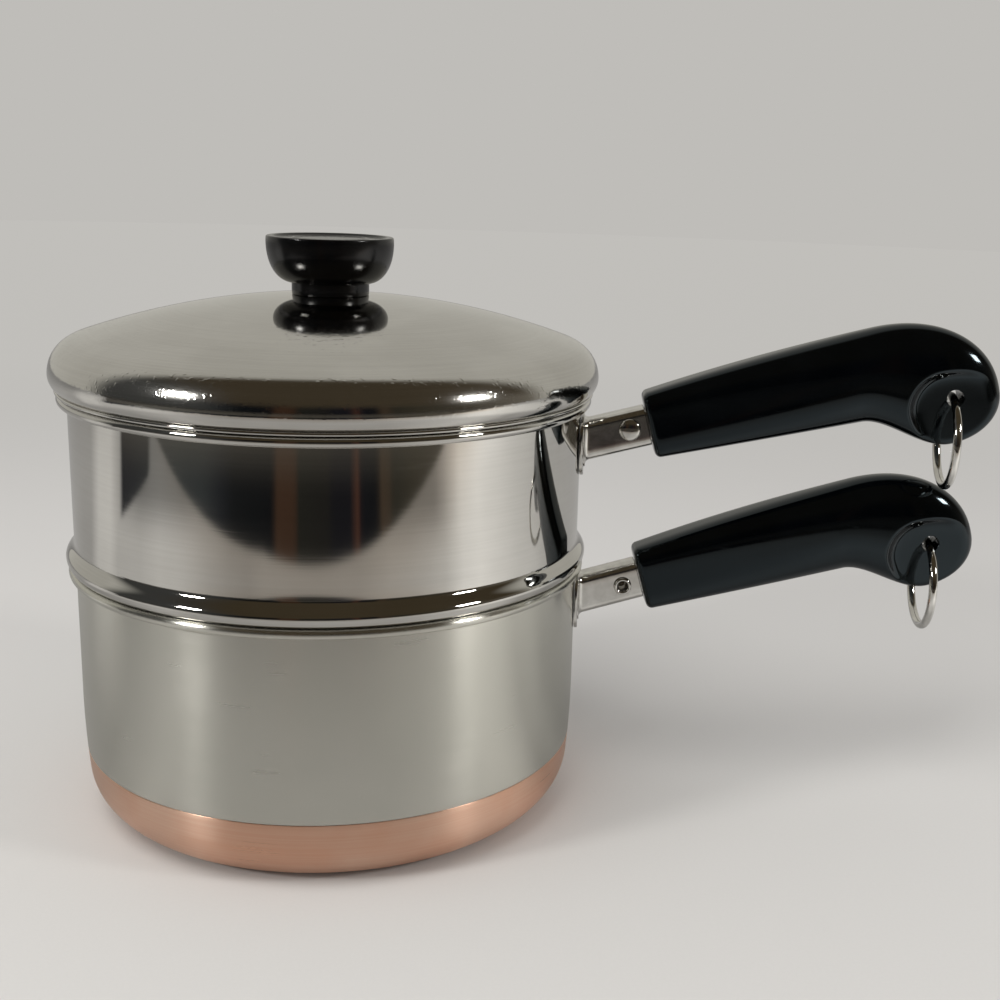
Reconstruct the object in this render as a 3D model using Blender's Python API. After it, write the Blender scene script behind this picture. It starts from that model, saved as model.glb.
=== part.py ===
# Saucepan with a steamer insert and a domed lid.
#
# Every piece is its own object, in metres, with +Z up. The origin is the middle of the
# saucepan's flat underside, and the saucepan's handle points along +X.
# The insert drops into the saucepan and rests on its rolled rim by a pressed shoulder, and
# the lid rests on the insert's rim. A ring hangs in a hole through the end of each grip.
import math

import bmesh
import bpy
import numpy as np
from mathutils import Matrix, Vector

# Clearances
GAP = 0.0003  # between pieces that touch, are welded or are riveted
PLUG_PLAY = 0.0006  # round a part that drops into a round opening
MERGE = 0.000001

# Saucepan
PAN_RADIUS = 0.0865
PAN_HEIGHT = 0.0878
PAN_SHEET = 0.0013
PAN_FLOOR_SHEET = 0.0010
PAN_CORNER_RADIUS = 0.0175
PAN_BELLY_RADIUS = 0.300  # the wall draws in to the corner along this long curve
PAN_BELLY_TURN = 5.0  # degrees between the wall and where the corner takes over
PAN_RIM_PROUD = 0.0024  # how far the rolled rim stands out from the wall
PAN_RIM_ROLL = 0.0017  # radius of the roll
COPPER_SHEET = 0.0005
COPPER_HEIGHT = 0.0233

# Steamer insert
INSERT_WALL_OUT = 0.0002  # its wall stands this much further out than the saucepan's
INSERT_SHEET = 0.0010
INSERT_HEIGHT = 0.0579  # from its seat on the saucepan to the top of its rim
INSERT_RIM_PROUD = 0.0033
INSERT_RIM_ROLL = 0.0017
SHOULDER_PROUD = 0.0028
SHOULDER_HEIGHT = 0.0083
SHOULDER_FOOT_SHARE = 0.36  # the part of its height that is rounded under
SHOULDER_UNDERCUT = 0.0021  # how far its foot stands in from its widest line
SEAT_BEND = 0.0016
PLUG_DEPTH = 0.026
PLUG_CORNER_RADIUS = 0.008
STEAM_HOLE_RADIUS = 0.0028
STEAM_HOLE_PITCH = 0.0155
STEAM_HOLE_RINGS = 4

# Lid and knob
LID_OVERHANG = 0.0055  # beyond the insert's wall
LID_RISE = 0.0318  # from the lid's seat to its crown
LID_SHEET = 0.0009
LID_CROWN_RADIUS = 0.252
LID_SHOULDER_RADIUS = 0.012
LID_TUCK_RADIUS = 0.006
LID_TUCK_ANGLE = 50.0
LID_PLUG_DEPTH = 0.006
LID_BEND = 0.0012
STUD_RADIUS = 0.0022
STUD_HEIGHT = 0.0130
STUD_FOOT_RADIUS = 0.0050
STUD_FOOT_HEIGHT = 0.0012
INSERT_NUT_RADIUS = 0.0038
INSERT_NUT_HEIGHT = 0.0090
KNOB_NECK_RADIUS = 0.0128
KNOB_NECK_HEIGHT = 0.0032
KNOB_RADIUS = 0.02135
KNOB_HEIGHT = 0.0188
KNOB_LIP = 0.0012
KNOB_DISH_DEPTH = 0.0022
KNOB_RING_RADIUS = 0.0125
KNOB_RING_HEIGHT = 0.0008

# Handles, along their own axis from the rivet
RIVET_STANDOFF = 0.0169  # from the vessel's wall
HANDLE_RISE = 15.5  # degrees above level
PAN_EXTRA_RISE = 0.5
INSERT_EXTRA_RISE = -0.6
INSERT_TURN = -2.7  # degrees by which the insert stands turned in the saucepan
PAN_RIVET_BELOW = 0.0099  # below the top of the rim
INSERT_RIVET_BELOW = 0.0110

# Bracket, a folded channel with two wings welded to the wall
CHANNEL_WIDTH = 0.0110
CHANNEL_HEIGHT = 0.0140
CHANNEL_SHEET = 0.0011
CHANNEL_BEND = 0.0028
CHANNEL_RAISE = 0.0006  # middle of the channel above the rivet
CHANNEL_END = 0.0082  # from the rivet to the grip's end of the channel
SEAM_WIDTH = 0.0016
WING_REACH = 0.0130
WING_ABOVE = 0.0010
WING_BELOW = 0.0040
WING_DROP = 0.0030  # how much lower the middle of the wings reaches than their tips
WING_SHEET = 0.0011
WING_ROUND = 0.0025  # how far the upper corners are rounded down

# Tang, a smaller channel nested in the bracket and let into the grip
TANG_SHEET = 0.0012
TANG_BACK = 0.0090  # from the rivet towards the vessel
TANG_LENGTH = 0.0540

# Rivet
RIVET_RADIUS = 0.0019
RIVET_HEAD_RADIUS = 0.0034
RIVET_HEAD_HEIGHT = 0.0014
RIVET_ROLL_RADIUS = 0.0029
RIVET_ROLL_HEIGHT = 0.0009
RIVET_BORE_RADIUS = 0.0016
RIVET_BORE_DEPTH = 0.0035

# Grip: heights are above and below the handle's axis through the rivet
GRIP_START = CHANNEL_END + GAP
GRIP_END = 0.1283
GRIP_CREST = 0.0885
GRIP_CREST_HEIGHT = 0.0148
GRIP_TOP_SWEEP = 0.870  # radius of the long curve along the top
GRIP_BELLY_START = 0.0120
GRIP_BELLY_SLOPE = 0.0560
GRIP_HOOK_START = 0.0820
GRIP_HOOK_BOTTOM = 0.1085
GRIP_HOOK_DEPTH = 0.0302
GRIP_TAIL_HEIGHT = -0.0160  # where the tail is furthest back
GRIP_FRONT_HALF = 0.0085
GRIP_MIDDLE_HALF = 0.0105
GRIP_TAIL_HALF = 0.0098
GRIP_FRONT_ROUND = 0.0030
GRIP_FRONT_POWER = 4.2  # of the section's superellipse: boxy in front
GRIP_PALM_POWER = 2.5
GRIP_FIRST_STEP = 0.0120
RING_HOLE_ALONG = 0.1118
RING_HOLE_HEIGHT = -0.0150
HOLLOW_ALONG = 0.1074
HOLLOW_HEIGHT = -0.0250
HOLLOW_RADIUS = 0.0150
WEB_HALF = 0.0066  # half the thickness left between the two hollows
RING_WIRE = 0.0013
RING_PLAY = 0.0003  # round the wire where its curve leaves the hole
RING_ROOM = 0.0251  # height that the lower grip and a clearance take below the upper ring
RING_TURN = -4.0  # degrees by which a ring hangs slewed in its hole, which its play allows

# Facets
ROUND_STEPS = 36
SMALL_STEPS = 20
KNOB_STEPS = 28
RIVET_STEPS = 12
RING_STEPS = 24
WIRE_STEPS = 8
STEAM_HOLE_STEPS = 8
DRILL_STEPS = 16
HOLLOW_STEPS = 24
SECTION_POINTS = 18

# Colour, roughness and metallic value of each material
SATIN_STEEL = ((0.58, 0.57, 0.54), 0.32, 1.0)
MIRROR_STEEL = ((0.66, 0.65, 0.62), 0.10, 1.0)
PLATED_STEEL = ((0.70, 0.69, 0.66), 0.14, 1.0)
COPPER = ((0.86, 0.48, 0.36), 0.34, 1.0)
BRASS = ((0.72, 0.56, 0.30), 0.30, 1.0)
PHENOLIC = ((0.010, 0.010, 0.011), 0.16, 0.0)


def clear_scene():
    for old in list(bpy.data.objects):
        bpy.data.objects.remove(old, do_unlink=True)


def arc(middle, height, radius, start, end, count):
    """Points on a circle round (middle, height), from start to end in degrees."""
    turns = np.radians(np.linspace(start, end, count))
    return [(middle + radius * math.cos(t), height + radius * math.sin(t)) for t in turns]


def shift(path, distance):
    """The path moved to the left of its direction, with its corners mitred."""
    points = np.array(path)
    steps = np.diff(points, axis=0)
    steps /= np.linalg.norm(steps, axis=1)[:, None]
    normals = np.stack([-steps[:, 1], steps[:, 0]], axis=1)
    corners = np.vstack([normals[:1], normals]) + np.vstack([normals, normals[-1:]])
    corners *= 2 / (corners**2).sum(1)[:, None]
    return [tuple(point) for point in points + distance * corners]


def finish(name, shape, look, smooth=35.0):
    """Makes a named object of a bmesh, with a material of its own."""
    mesh = bpy.data.meshes.new(name)
    bmesh.ops.recalc_face_normals(shape, faces=shape.faces)
    shape.to_mesh(mesh)
    shape.free()
    mesh.shade_smooth()
    mesh.set_sharp_from_angle(angle=math.radians(smooth))
    colour, roughness, metallic = look
    material = bpy.data.materials.new(name + "_finish")
    material.use_nodes = True
    surface = material.node_tree.nodes["Principled BSDF"]
    surface.inputs["Base Color"].default_value = (*colour, 1.0)
    surface.inputs["Roughness"].default_value = roughness
    surface.inputs["Metallic"].default_value = metallic
    mesh.materials.append(material)
    made = bpy.data.objects.new(name, mesh)
    bpy.context.collection.objects.link(made)
    return made


def turned(name, outline, look, steps=ROUND_STEPS):
    """Spins a closed outline of (radius, height) points round the Z axis."""
    shape = bmesh.new()
    corners = [shape.verts.new((radius, 0.0, height)) for radius, height in outline]
    edges = []
    for first, second in zip(corners, corners[1:] + corners[:1]):
        if first.co.x > MERGE or second.co.x > MERGE:
            edges.append(shape.edges.new((first, second)))
    bmesh.ops.spin(
        shape,
        geom=corners + edges,
        cent=(0, 0, 0),
        axis=(0, 0, 1),
        angle=math.tau,
        steps=steps,
        use_merge=True,
    )
    bmesh.ops.remove_doubles(shape, verts=shape.verts, dist=MERGE)
    return finish(name, shape, look)


def bridged(name, rings, look, smooth=35.0):
    """Joins rings of points, all of one count, into a closed skin with flat ends."""
    shape = bmesh.new()
    loops = [[shape.verts.new(point) for point in ring] for ring in rings]
    count = len(rings[0])
    for near, far in zip(loops, loops[1:]):
        for i in range(count):
            j = (i + 1) % count
            shape.faces.new((near[i], near[j], far[j], far[i]))
    shape.faces.new(loops[0])
    shape.faces.new(loops[-1])
    bmesh.ops.remove_doubles(shape, verts=shape.verts, dist=MERGE)
    bmesh.ops.dissolve_degenerate(shape, edges=shape.edges, dist=MERGE)
    return finish(name, shape, look, smooth)


def rod_into(shape, radius, ends, turn, steps):
    """Adds a closed cylinder to a bmesh. It lies along Z between ends, then turn places it."""
    low, high = ends
    bmesh.ops.create_cone(
        shape,
        cap_ends=True,
        segments=steps,
        radius1=radius,
        radius2=radius,
        depth=high - low,
        matrix=turn @ Matrix.Translation((0, 0, (low + high) / 2)),
    )


def cut(target, cutter, operation="DIFFERENCE"):
    """Takes a cutter out of a piece, or joins the two, and keeps the cutter as a guide."""
    change = target.modifiers.new(cutter.name, "BOOLEAN")
    change.object = cutter
    change.operation = operation
    change.solver = "EXACT"
    cutter.hide_render = True
    cutter.display_type = "WIRE"


# Where the pieces rest on each other
INSERT_RADIUS = PAN_RADIUS + INSERT_WALL_OUT
LID_RADIUS = INSERT_RADIUS + LID_OVERHANG
INSERT_SEAT = PAN_HEIGHT + GAP
LID_SEAT = INSERT_SEAT + INSERT_HEIGHT + GAP
PAN_BORE = PAN_RADIUS - PAN_SHEET
PAN_BELLY_RISE = (PAN_BELLY_RADIUS - PAN_CORNER_RADIUS) * math.sin(math.radians(PAN_BELLY_TURN))
PAN_BELLY_TOP = PAN_CORNER_RADIUS + PAN_BELLY_RISE
PLUG_RADIUS = PAN_BORE - PLUG_PLAY
INSERT_BORE = INSERT_RADIUS - INSERT_SHEET
LID_CROWN = LID_SEAT + LID_RISE
PAN_RIVET_HEIGHT = PAN_HEIGHT - PAN_RIVET_BELOW
INSERT_RIVET_HEIGHT = INSERT_SEAT + INSERT_HEIGHT - INSERT_RIVET_BELOW
RING_RADIUS = (INSERT_RIVET_HEIGHT - PAN_RIVET_HEIGHT - RING_ROOM) / 2
RING_SAG = RING_RADIUS - math.sqrt(RING_RADIUS**2 - WEB_HALF**2)
RING_SLEW = WEB_HALF * math.sin(math.radians(RING_TURN))
RING_HOLE_RADIUS = math.hypot(RING_SAG, RING_SLEW) + RING_WIRE + RING_PLAY


def rolled_rim(wall, bore, proud, roll, top):
    """A rolled rim seen in section, from the outside of the wall over to the bore."""
    middle = wall + proud - roll
    meets = math.degrees(math.acos(max(-1.0, (wall - middle) / roll)))
    outer = arc(middle, top - roll, roll, -meets, 90, 7)
    inner = arc(bore + roll, top - roll, roll, 90, 180, 3)
    return outer + inner


def pan_corner(inset, count):
    """The corner between floor and wall, moved in by the inset, from the floor outwards."""
    turn = math.radians(PAN_BELLY_TURN)
    swing = PAN_BELLY_RADIUS - PAN_CORNER_RADIUS
    middle = PAN_RADIUS - PAN_BELLY_RADIUS + swing * math.cos(turn)
    bend = PAN_CORNER_RADIUS - inset
    return arc(middle, PAN_CORNER_RADIUS, bend, -90, -PAN_BELLY_TURN, count)


def pan_belly(inset, height):
    """The point of the wall's long curve, moved in by the inset, at a height."""
    level = min(0.0, height - PAN_BELLY_TOP)
    reach = math.sqrt((PAN_BELLY_RADIUS - inset) ** 2 - level**2)
    return (PAN_RADIUS - PAN_BELLY_RADIUS + reach, height)


def pan_shell():
    """The saucepan: a drawn sheet with a rolled rim and a seat for the copper base."""
    recess = COPPER_SHEET + GAP
    floor = recess + PAN_FLOOR_SHEET
    step = COPPER_HEIGHT + GAP
    lift = floor - PAN_SHEET
    inner_corner = [(radius, height + lift) for radius, height in pan_corner(PAN_SHEET, 5)]
    outline = [(0.0, recess)]
    outline += pan_corner(recess, 6)
    outline += [pan_belly(recess, step), pan_belly(0.0, step)]
    outline += [pan_belly(0.0, (step + PAN_BELLY_TOP) / 2), (PAN_RADIUS, PAN_BELLY_TOP)]
    outline += rolled_rim(PAN_RADIUS, PAN_BORE, PAN_RIM_PROUD, PAN_RIM_ROLL, PAN_HEIGHT)
    outline += [(PAN_BORE, PAN_BELLY_TOP), pan_belly(PAN_SHEET, (step + PAN_BELLY_TOP) / 2)]
    outline += inner_corner[::-1]
    outline += [(0.0, floor)]
    return turned("pan_shell", outline, SATIN_STEEL)


def copper_base():
    """The copper cup bonded to the underside, flush with the wall above it."""
    outline = [(0.0, 0.0)]
    outline += pan_corner(0.0, 6)
    outline += [pan_belly(0.0, COPPER_HEIGHT), pan_belly(COPPER_SHEET, COPPER_HEIGHT)]
    outline += pan_corner(COPPER_SHEET, 5)[::-1]
    outline += [(0.0, COPPER_SHEET)]
    return turned("copper_base", outline, COPPER)


def steam_holes():
    """The drills for the insert's floor: one in the middle and rings of six, twelve and so on."""
    shape = bmesh.new()
    floor = INSERT_SEAT - PLUG_DEPTH
    ends = (floor - INSERT_SHEET, floor + 2 * INSERT_SHEET)
    for ring in range(STEAM_HOLE_RINGS):
        holes = max(1, 6 * ring)
        for hole in range(holes):
            angle = math.tau * (hole + 0.5 * (ring % 2)) / holes
            reach = STEAM_HOLE_PITCH * ring
            place = (reach * math.cos(angle), reach * math.sin(angle), 0)
            turn = Matrix.Translation(place)
            rod_into(shape, STEAM_HOLE_RADIUS, ends, turn, STEAM_HOLE_STEPS)
    return finish("steam_hole_drills", shape, MIRROR_STEEL)


def steamer_shell():
    """The insert: perforated floor, plug, pressed shoulder, wall and rolled rim."""
    floor = INSERT_SEAT - PLUG_DEPTH
    widest = INSERT_RADIUS + SHOULDER_PROUD
    lower = SHOULDER_FOOT_SHARE * SHOULDER_HEIGHT
    upper = SHOULDER_HEIGHT - lower
    foot = widest - SHOULDER_UNDERCUT
    outside = [(0.0, floor)]
    outside += arc(
        PLUG_RADIUS - PLUG_CORNER_RADIUS,
        floor + PLUG_CORNER_RADIUS,
        PLUG_CORNER_RADIUS,
        -90,
        0,
        4,
    )
    outside += arc(PLUG_RADIUS + SEAT_BEND, INSERT_SEAT - SEAT_BEND, SEAT_BEND, 180, 90, 3)
    for t in np.radians([-90, -45, 0]):
        outside.append(
            (foot + (widest - foot) * math.cos(t), INSERT_SEAT + lower + lower * math.sin(t))
        )
    for t in (0.4, 0.75, 1.0):
        fall = SHOULDER_PROUD * (0.5 + 0.5 * math.cos(math.pi * t))
        outside.append((INSERT_RADIUS + fall, INSERT_SEAT + lower + upper * t))
    wall_top = INSERT_SEAT + INSERT_HEIGHT - INSERT_RIM_ROLL
    rim = rolled_rim(
        INSERT_RADIUS,
        INSERT_BORE,
        INSERT_RIM_PROUD,
        INSERT_RIM_ROLL,
        INSERT_SEAT + INSERT_HEIGHT,
    )
    inside = shift(outside + [(INSERT_RADIUS, wall_top)], INSERT_SHEET)
    inside[0] = (0.0, floor + INSERT_SHEET)
    shell = turned("steamer_shell", outside + rim + inside[-2::-1], MIRROR_STEEL)
    cut(shell, steam_holes())
    return shell


def lid_section():
    """The outside of the lid from its crown to the foot of its plug, in section."""
    reach = LID_RADIUS - LID_SHOULDER_RADIUS
    slope = math.asin(reach / (LID_CROWN_RADIUS - LID_SHOULDER_RADIUS))
    drop = (LID_CROWN_RADIUS - LID_SHOULDER_RADIUS) * math.cos(slope)
    widest = LID_CROWN - LID_CROWN_RADIUS + drop
    crown_turns = 90 - np.degrees(slope) * np.linspace(0, 1, 6)
    path = []
    for turn in np.radians(crown_turns):
        path.append(
            (
                LID_CROWN_RADIUS * math.cos(turn),
                LID_CROWN - LID_CROWN_RADIUS + LID_CROWN_RADIUS * math.sin(turn),
            )
        )
    path[0] = (0.0, LID_CROWN)
    path += arc(reach, widest, LID_SHOULDER_RADIUS, 90 - math.degrees(slope), 0, 5)[1:]
    tuck = arc(LID_RADIUS - LID_TUCK_RADIUS, widest, LID_TUCK_RADIUS, 0, -LID_TUCK_ANGLE, 3)
    path += tuck[1:]
    path += [(tuck[-1][0], LID_SEAT)]
    plug = INSERT_BORE - PLUG_PLAY
    path += arc(plug + LID_BEND, LID_SEAT - LID_BEND, LID_BEND, 90, 180, 3)
    path += [(plug, LID_SEAT - LID_PLUG_DEPTH)]
    return path


def lid_shell():
    """The lid: a shallow dome whose edge is rolled under, with a plug that centres it."""
    outside = lid_section()
    inside = shift(outside, -LID_SHEET)
    inside[0] = (0.0, LID_CROWN - LID_SHEET)
    return turned("lid_shell", outside + inside[::-1], MIRROR_STEEL)


def lid_stud():
    """The threaded stud welded to the crown, plain here, with its round foot."""
    base = LID_CROWN + GAP
    outline = [
        (0.0, base),
        (STUD_FOOT_RADIUS, base),
        (STUD_FOOT_RADIUS, base + STUD_FOOT_HEIGHT),
        (STUD_RADIUS, base + STUD_FOOT_HEIGHT),
        (STUD_RADIUS, base + STUD_HEIGHT - STUD_RADIUS / 3),
        (STUD_RADIUS * 0.7, base + STUD_HEIGHT),
        (0.0, base + STUD_HEIGHT),
    ]
    return turned("lid_stud", outline, PLATED_STEEL, SMALL_STEPS)


def knob_insert():
    """The threaded bush moulded into the knob, round the stud."""
    low = LID_CROWN + 2 * GAP + STUD_FOOT_HEIGHT
    high = low + INSERT_NUT_HEIGHT
    bore = STUD_RADIUS + GAP
    outline = [(bore, low), (INSERT_NUT_RADIUS, low), (INSERT_NUT_RADIUS, high), (bore, high)]
    return turned("knob_insert", outline, BRASS, SMALL_STEPS)


def knob():
    """The knob: a short neck under a flared bowl with a dished top and a raised ring."""
    base = LID_CROWN + GAP
    top = base + KNOB_HEIGHT
    bowl_height = KNOB_HEIGHT - KNOB_NECK_HEIGHT - KNOB_LIP
    flare = KNOB_RADIUS - KNOB_NECK_RADIUS
    pocket = STUD_FOOT_RADIUS + GAP
    pocket_top = base + STUD_FOOT_HEIGHT + 2 * GAP
    bore = INSERT_NUT_RADIUS + GAP
    bore_top = LID_CROWN + 4 * GAP + STUD_FOOT_HEIGHT + INSERT_NUT_HEIGHT
    stud_top = LID_CROWN + 3 * GAP + STUD_HEIGHT
    outline = [(pocket, base), (KNOB_NECK_RADIUS, base)]
    for t in np.radians(np.linspace(0, 90, 6)):
        outline.append(
            (
                KNOB_NECK_RADIUS + flare * math.sin(t),
                base + KNOB_NECK_HEIGHT + bowl_height * (1 - math.cos(t)),
            )
        )
    outline += arc(KNOB_RADIUS - KNOB_LIP, top - KNOB_LIP, KNOB_LIP, 30, 90, 3)
    dish = top - KNOB_DISH_DEPTH
    outline += [
        (KNOB_RADIUS - 2 * KNOB_LIP, top - KNOB_LIP * 0.4),
        (KNOB_RING_RADIUS + KNOB_RING_HEIGHT * 2, dish),
        (KNOB_RING_RADIUS, dish + KNOB_RING_HEIGHT),
        (KNOB_RING_RADIUS - KNOB_RING_HEIGHT * 2, dish),
        (0.0, dish),
        (0.0, stud_top),
        (STUD_RADIUS + GAP, stud_top),
        (STUD_RADIUS + GAP, bore_top),
        (bore, bore_top),
        (bore, pocket_top),
        (pocket, pocket_top),
    ]
    return turned("knob", outline, PHENOLIC, KNOB_STEPS)


def handle_lie(wall_radius, rivet_height, extra_rise):
    """The place of a handle: its axis starts at the rivet and slopes up away from the wall."""
    tilt = Matrix.Rotation(-math.radians(HANDLE_RISE + extra_rise), 4, "Y")
    return Matrix.Translation((wall_radius + RIVET_STANDOFF, 0, rivet_height)) @ tilt


def rounded_box(width, height, bend, along, raise_by=0.0):
    """Rings of a rounded rectangle across the handle, at each distance in along."""
    middle_y = width / 2 - bend
    middle_z = height / 2 - bend
    section = []
    for side_y, side_z, start in ((1, 1, 0), (-1, 1, 90), (-1, -1, 180), (1, -1, 270)):
        section += arc(side_y * middle_y, side_z * middle_z, bend, start, start + 90, 4)
    return [[(x, y, z + raise_by) for y, z in section] for x in along]


def wings(prefix, lie, wall_radius):
    """The part of the bracket that hugs the wall, drawn lower in the middle than at its tips."""
    back = lie.inverted()
    inner = wall_radius + GAP
    half_height = CHANNEL_HEIGHT / 2
    rivet_height = lie.translation.z
    slope = math.tan(lie.to_euler().y)
    root = rivet_height + CHANNEL_RAISE + slope * (RIVET_STANDOFF - GAP)
    top = root + half_height + WING_ABOVE
    low = root - half_height - WING_BELOW
    columns = np.linspace(-1, 1, 13)
    rings = []
    for column in columns:
        tip = abs(column)
        reach = WING_REACH * column
        corner = WING_ROUND * tip**4
        ring = []
        for radius, height in (
            (inner, low + WING_DROP * tip**2),
            (inner + WING_SHEET, low + WING_DROP * tip**2),
            (inner + WING_SHEET, top - corner),
            (inner, top - corner),
        ):
            angle = math.asin(reach / radius)
            ring.append(back @ Vector((radius * math.cos(angle), reach, height)))
        rings.append(ring)
    return bridged(prefix + "_wings_guide", rings, PLATED_STEEL, 60)


def vessel_wall(prefix, lie, wall_radius):
    """The round of the vessel's wall, to trim the channel's end with."""
    shape = bmesh.new()
    reach = CHANNEL_HEIGHT + WING_BELOW
    ends = (lie.translation.z - 2 * reach, lie.translation.z + reach)
    radius = wall_radius + GAP + WING_SHEET / 3
    rod_into(shape, radius, ends, Matrix.Identity(4), 4 * ROUND_STEPS)
    bmesh.ops.transform(shape, matrix=lie.inverted(), verts=shape.verts)
    return finish(prefix + "_bracket_trim", shape, PLATED_STEEL)


def bracket(prefix, lie, wall_radius):
    """Wings and channel folded from one sheet, with the fold's open seam underneath."""
    wall_end = -RIVET_STANDOFF / math.cos(lie.to_euler().y)
    inside = wall_end - CHANNEL_HEIGHT / 2
    body = bridged(
        prefix + "_bracket",
        rounded_box(
            CHANNEL_WIDTH,
            CHANNEL_HEIGHT,
            CHANNEL_BEND,
            (inside, CHANNEL_END),
            CHANNEL_RAISE,
        ),
        PLATED_STEEL,
    )
    sheet = 2 * CHANNEL_SHEET
    bore = bridged(
        prefix + "_bracket_bore",
        rounded_box(
            CHANNEL_WIDTH - sheet,
            CHANNEL_HEIGHT - sheet,
            CHANNEL_BEND - CHANNEL_SHEET,
            (inside - sheet, CHANNEL_END + sheet),
            CHANNEL_RAISE,
        ),
        PLATED_STEEL,
    )
    bottom = CHANNEL_RAISE - CHANNEL_HEIGHT / 2
    seam = box(
        prefix + "_bracket_seam",
        (wall_end + WING_BELOW, -SEAM_WIDTH / 2, bottom - CHANNEL_SHEET),
        (CHANNEL_END + CHANNEL_SHEET, SEAM_WIDTH / 2, bottom + sheet),
    )
    rivet_hole = cross_hole(prefix + "_bracket_drill", RIVET_RADIUS + GAP, CHANNEL_WIDTH)
    trim = vessel_wall(prefix, lie, wall_radius)
    flange = wings(prefix, lie, wall_radius)
    cut(body, trim)
    cut(body, flange, "UNION")
    for cutter in (bore, seam, rivet_hole):
        cut(body, cutter)
    return [body, trim, flange, bore, seam, rivet_hole]


def box(name, low, high):
    """A plain box between two corners, for cutting."""
    rings = []
    for x in (low[0], high[0]):
        rings.append(
            [
                (x, low[1], low[2]),
                (x, high[1], low[2]),
                (x, high[1], high[2]),
                (x, low[1], high[2]),
            ]
        )
    return bridged(name, rings, PLATED_STEEL)


def cross_hole(name, radius, half, along=0.0, height=0.0):
    """A drill across the handle, along Y."""
    shape = bmesh.new()
    turn = Matrix.Translation((along, 0, height)) @ Matrix.Rotation(math.pi / 2, 4, "X")
    rod_into(shape, radius, (-half, half), turn, DRILL_STEPS)
    return finish(name, shape, PLATED_STEEL)


def tang(prefix):
    """The channel inside the bracket, open underneath, that the grip is moulded on."""
    width = CHANNEL_WIDTH - 2 * CHANNEL_SHEET - 2 * GAP
    height = CHANNEL_HEIGHT - 2 * CHANNEL_SHEET - 2 * GAP
    half = width / 2
    top = CHANNEL_RAISE + height / 2
    low = CHANNEL_RAISE - height / 2 + CHANNEL_SHEET
    bend = CHANNEL_BEND - CHANNEL_SHEET
    across = [(-half, low), (-half, top - bend)]
    across += arc(-half + bend, top - bend, bend, 180, 90, 3)[1:]
    across += arc(half - bend, top - bend, bend, 90, 0, 3)
    across += [(half, low)]
    section = across + shift(across, -TANG_SHEET)[::-1]
    rings = [[(x, y, z) for y, z in section] for x in (-TANG_BACK, TANG_LENGTH - TANG_BACK)]
    piece = bridged(prefix + "_tang", rings, PLATED_STEEL)
    drill = cross_hole(prefix + "_tang_drill", RIVET_RADIUS + GAP, CHANNEL_WIDTH)
    cut(piece, drill)
    return [piece, drill]


def rivet(prefix, hollow_side):
    """A part-hollow rivet: a domed head one side, a rolled open end on the other."""
    face = CHANNEL_WIDTH / 2 + GAP
    outline = [(0.0, face + RIVET_HEAD_HEIGHT)]
    for t in np.radians((65, 40, 15)):
        outline.append(
            (RIVET_HEAD_RADIUS * math.cos(t), face + RIVET_HEAD_HEIGHT * math.sin(t))
        )
    outline += [(RIVET_HEAD_RADIUS, face), (RIVET_RADIUS, face), (RIVET_RADIUS, -face)]
    roll = RIVET_ROLL_RADIUS - RIVET_BORE_RADIUS
    outline += [
        (RIVET_ROLL_RADIUS, -face),
        (RIVET_ROLL_RADIUS, -face - RIVET_ROLL_HEIGHT * 0.4),
        (RIVET_ROLL_RADIUS - roll * 0.35, -face - RIVET_ROLL_HEIGHT),
        (RIVET_BORE_RADIUS + roll * 0.2, -face - RIVET_ROLL_HEIGHT),
        (RIVET_BORE_RADIUS, -face - RIVET_ROLL_HEIGHT * 0.4),
        (RIVET_BORE_RADIUS, -face + RIVET_BORE_DEPTH),
        (0.0, -face + RIVET_BORE_DEPTH + RIVET_BORE_RADIUS * 0.4),
    ]
    piece = turned(prefix + "_rivet", outline[::-1], PLATED_STEEL, RIVET_STEPS)
    piece.data.transform(Matrix.Rotation(hollow_side * math.pi / 2, 4, "X"))
    return [piece]


def grip_top(along):
    """Height of the grip's top: a long shallow curve to the crest, then a quarter ellipse."""
    if along < GRIP_CREST:
        return GRIP_CREST_HEIGHT - (GRIP_CREST - along) ** 2 / (2 * GRIP_TOP_SWEEP)
    share = (along - GRIP_CREST) / (GRIP_END - GRIP_CREST)
    rise = GRIP_CREST_HEIGHT - GRIP_TAIL_HEIGHT
    return GRIP_TAIL_HEIGHT + rise * math.sqrt(max(0.0, 1 - share**2))


def grip_bottom(along):
    """Height of the underside: a straight belly that sweeps down into the hooked tail."""
    if along > GRIP_HOOK_BOTTOM:
        share = (along - GRIP_HOOK_BOTTOM) / (GRIP_END - GRIP_HOOK_BOTTOM)
        drop = GRIP_HOOK_DEPTH + GRIP_TAIL_HEIGHT
        return GRIP_TAIL_HEIGHT - drop * math.sqrt(max(0.0, 1 - share**2))
    belly = -GRIP_BELLY_START - GRIP_BELLY_SLOPE * (along - GRIP_START)
    share = (along - GRIP_HOOK_START) / (GRIP_HOOK_BOTTOM - GRIP_HOOK_START)
    share = min(1.0, max(0.0, share))
    sweep = share**2 * (3 - 2 * share)
    return belly + (-GRIP_HOOK_DEPTH - belly) * sweep


def grip_half(along):
    """Half the grip's width: narrow at the channel, full in the palm, round at the tail."""
    swell = GRIP_MIDDLE_HALF - GRIP_FRONT_HALF
    share = min(1.0, (along - GRIP_START) / (GRIP_HOOK_START - GRIP_START))
    half = GRIP_FRONT_HALF + swell * math.sin(share * math.pi / 2)
    if along > GRIP_HOOK_START:
        share = (along - GRIP_HOOK_START) / (GRIP_END - GRIP_HOOK_START)
        half -= (GRIP_MIDDLE_HALF - GRIP_TAIL_HALF) * min(1.0, share * 2)
        half *= math.sqrt(max(0.0, 1 - share**5))
    return half


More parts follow.
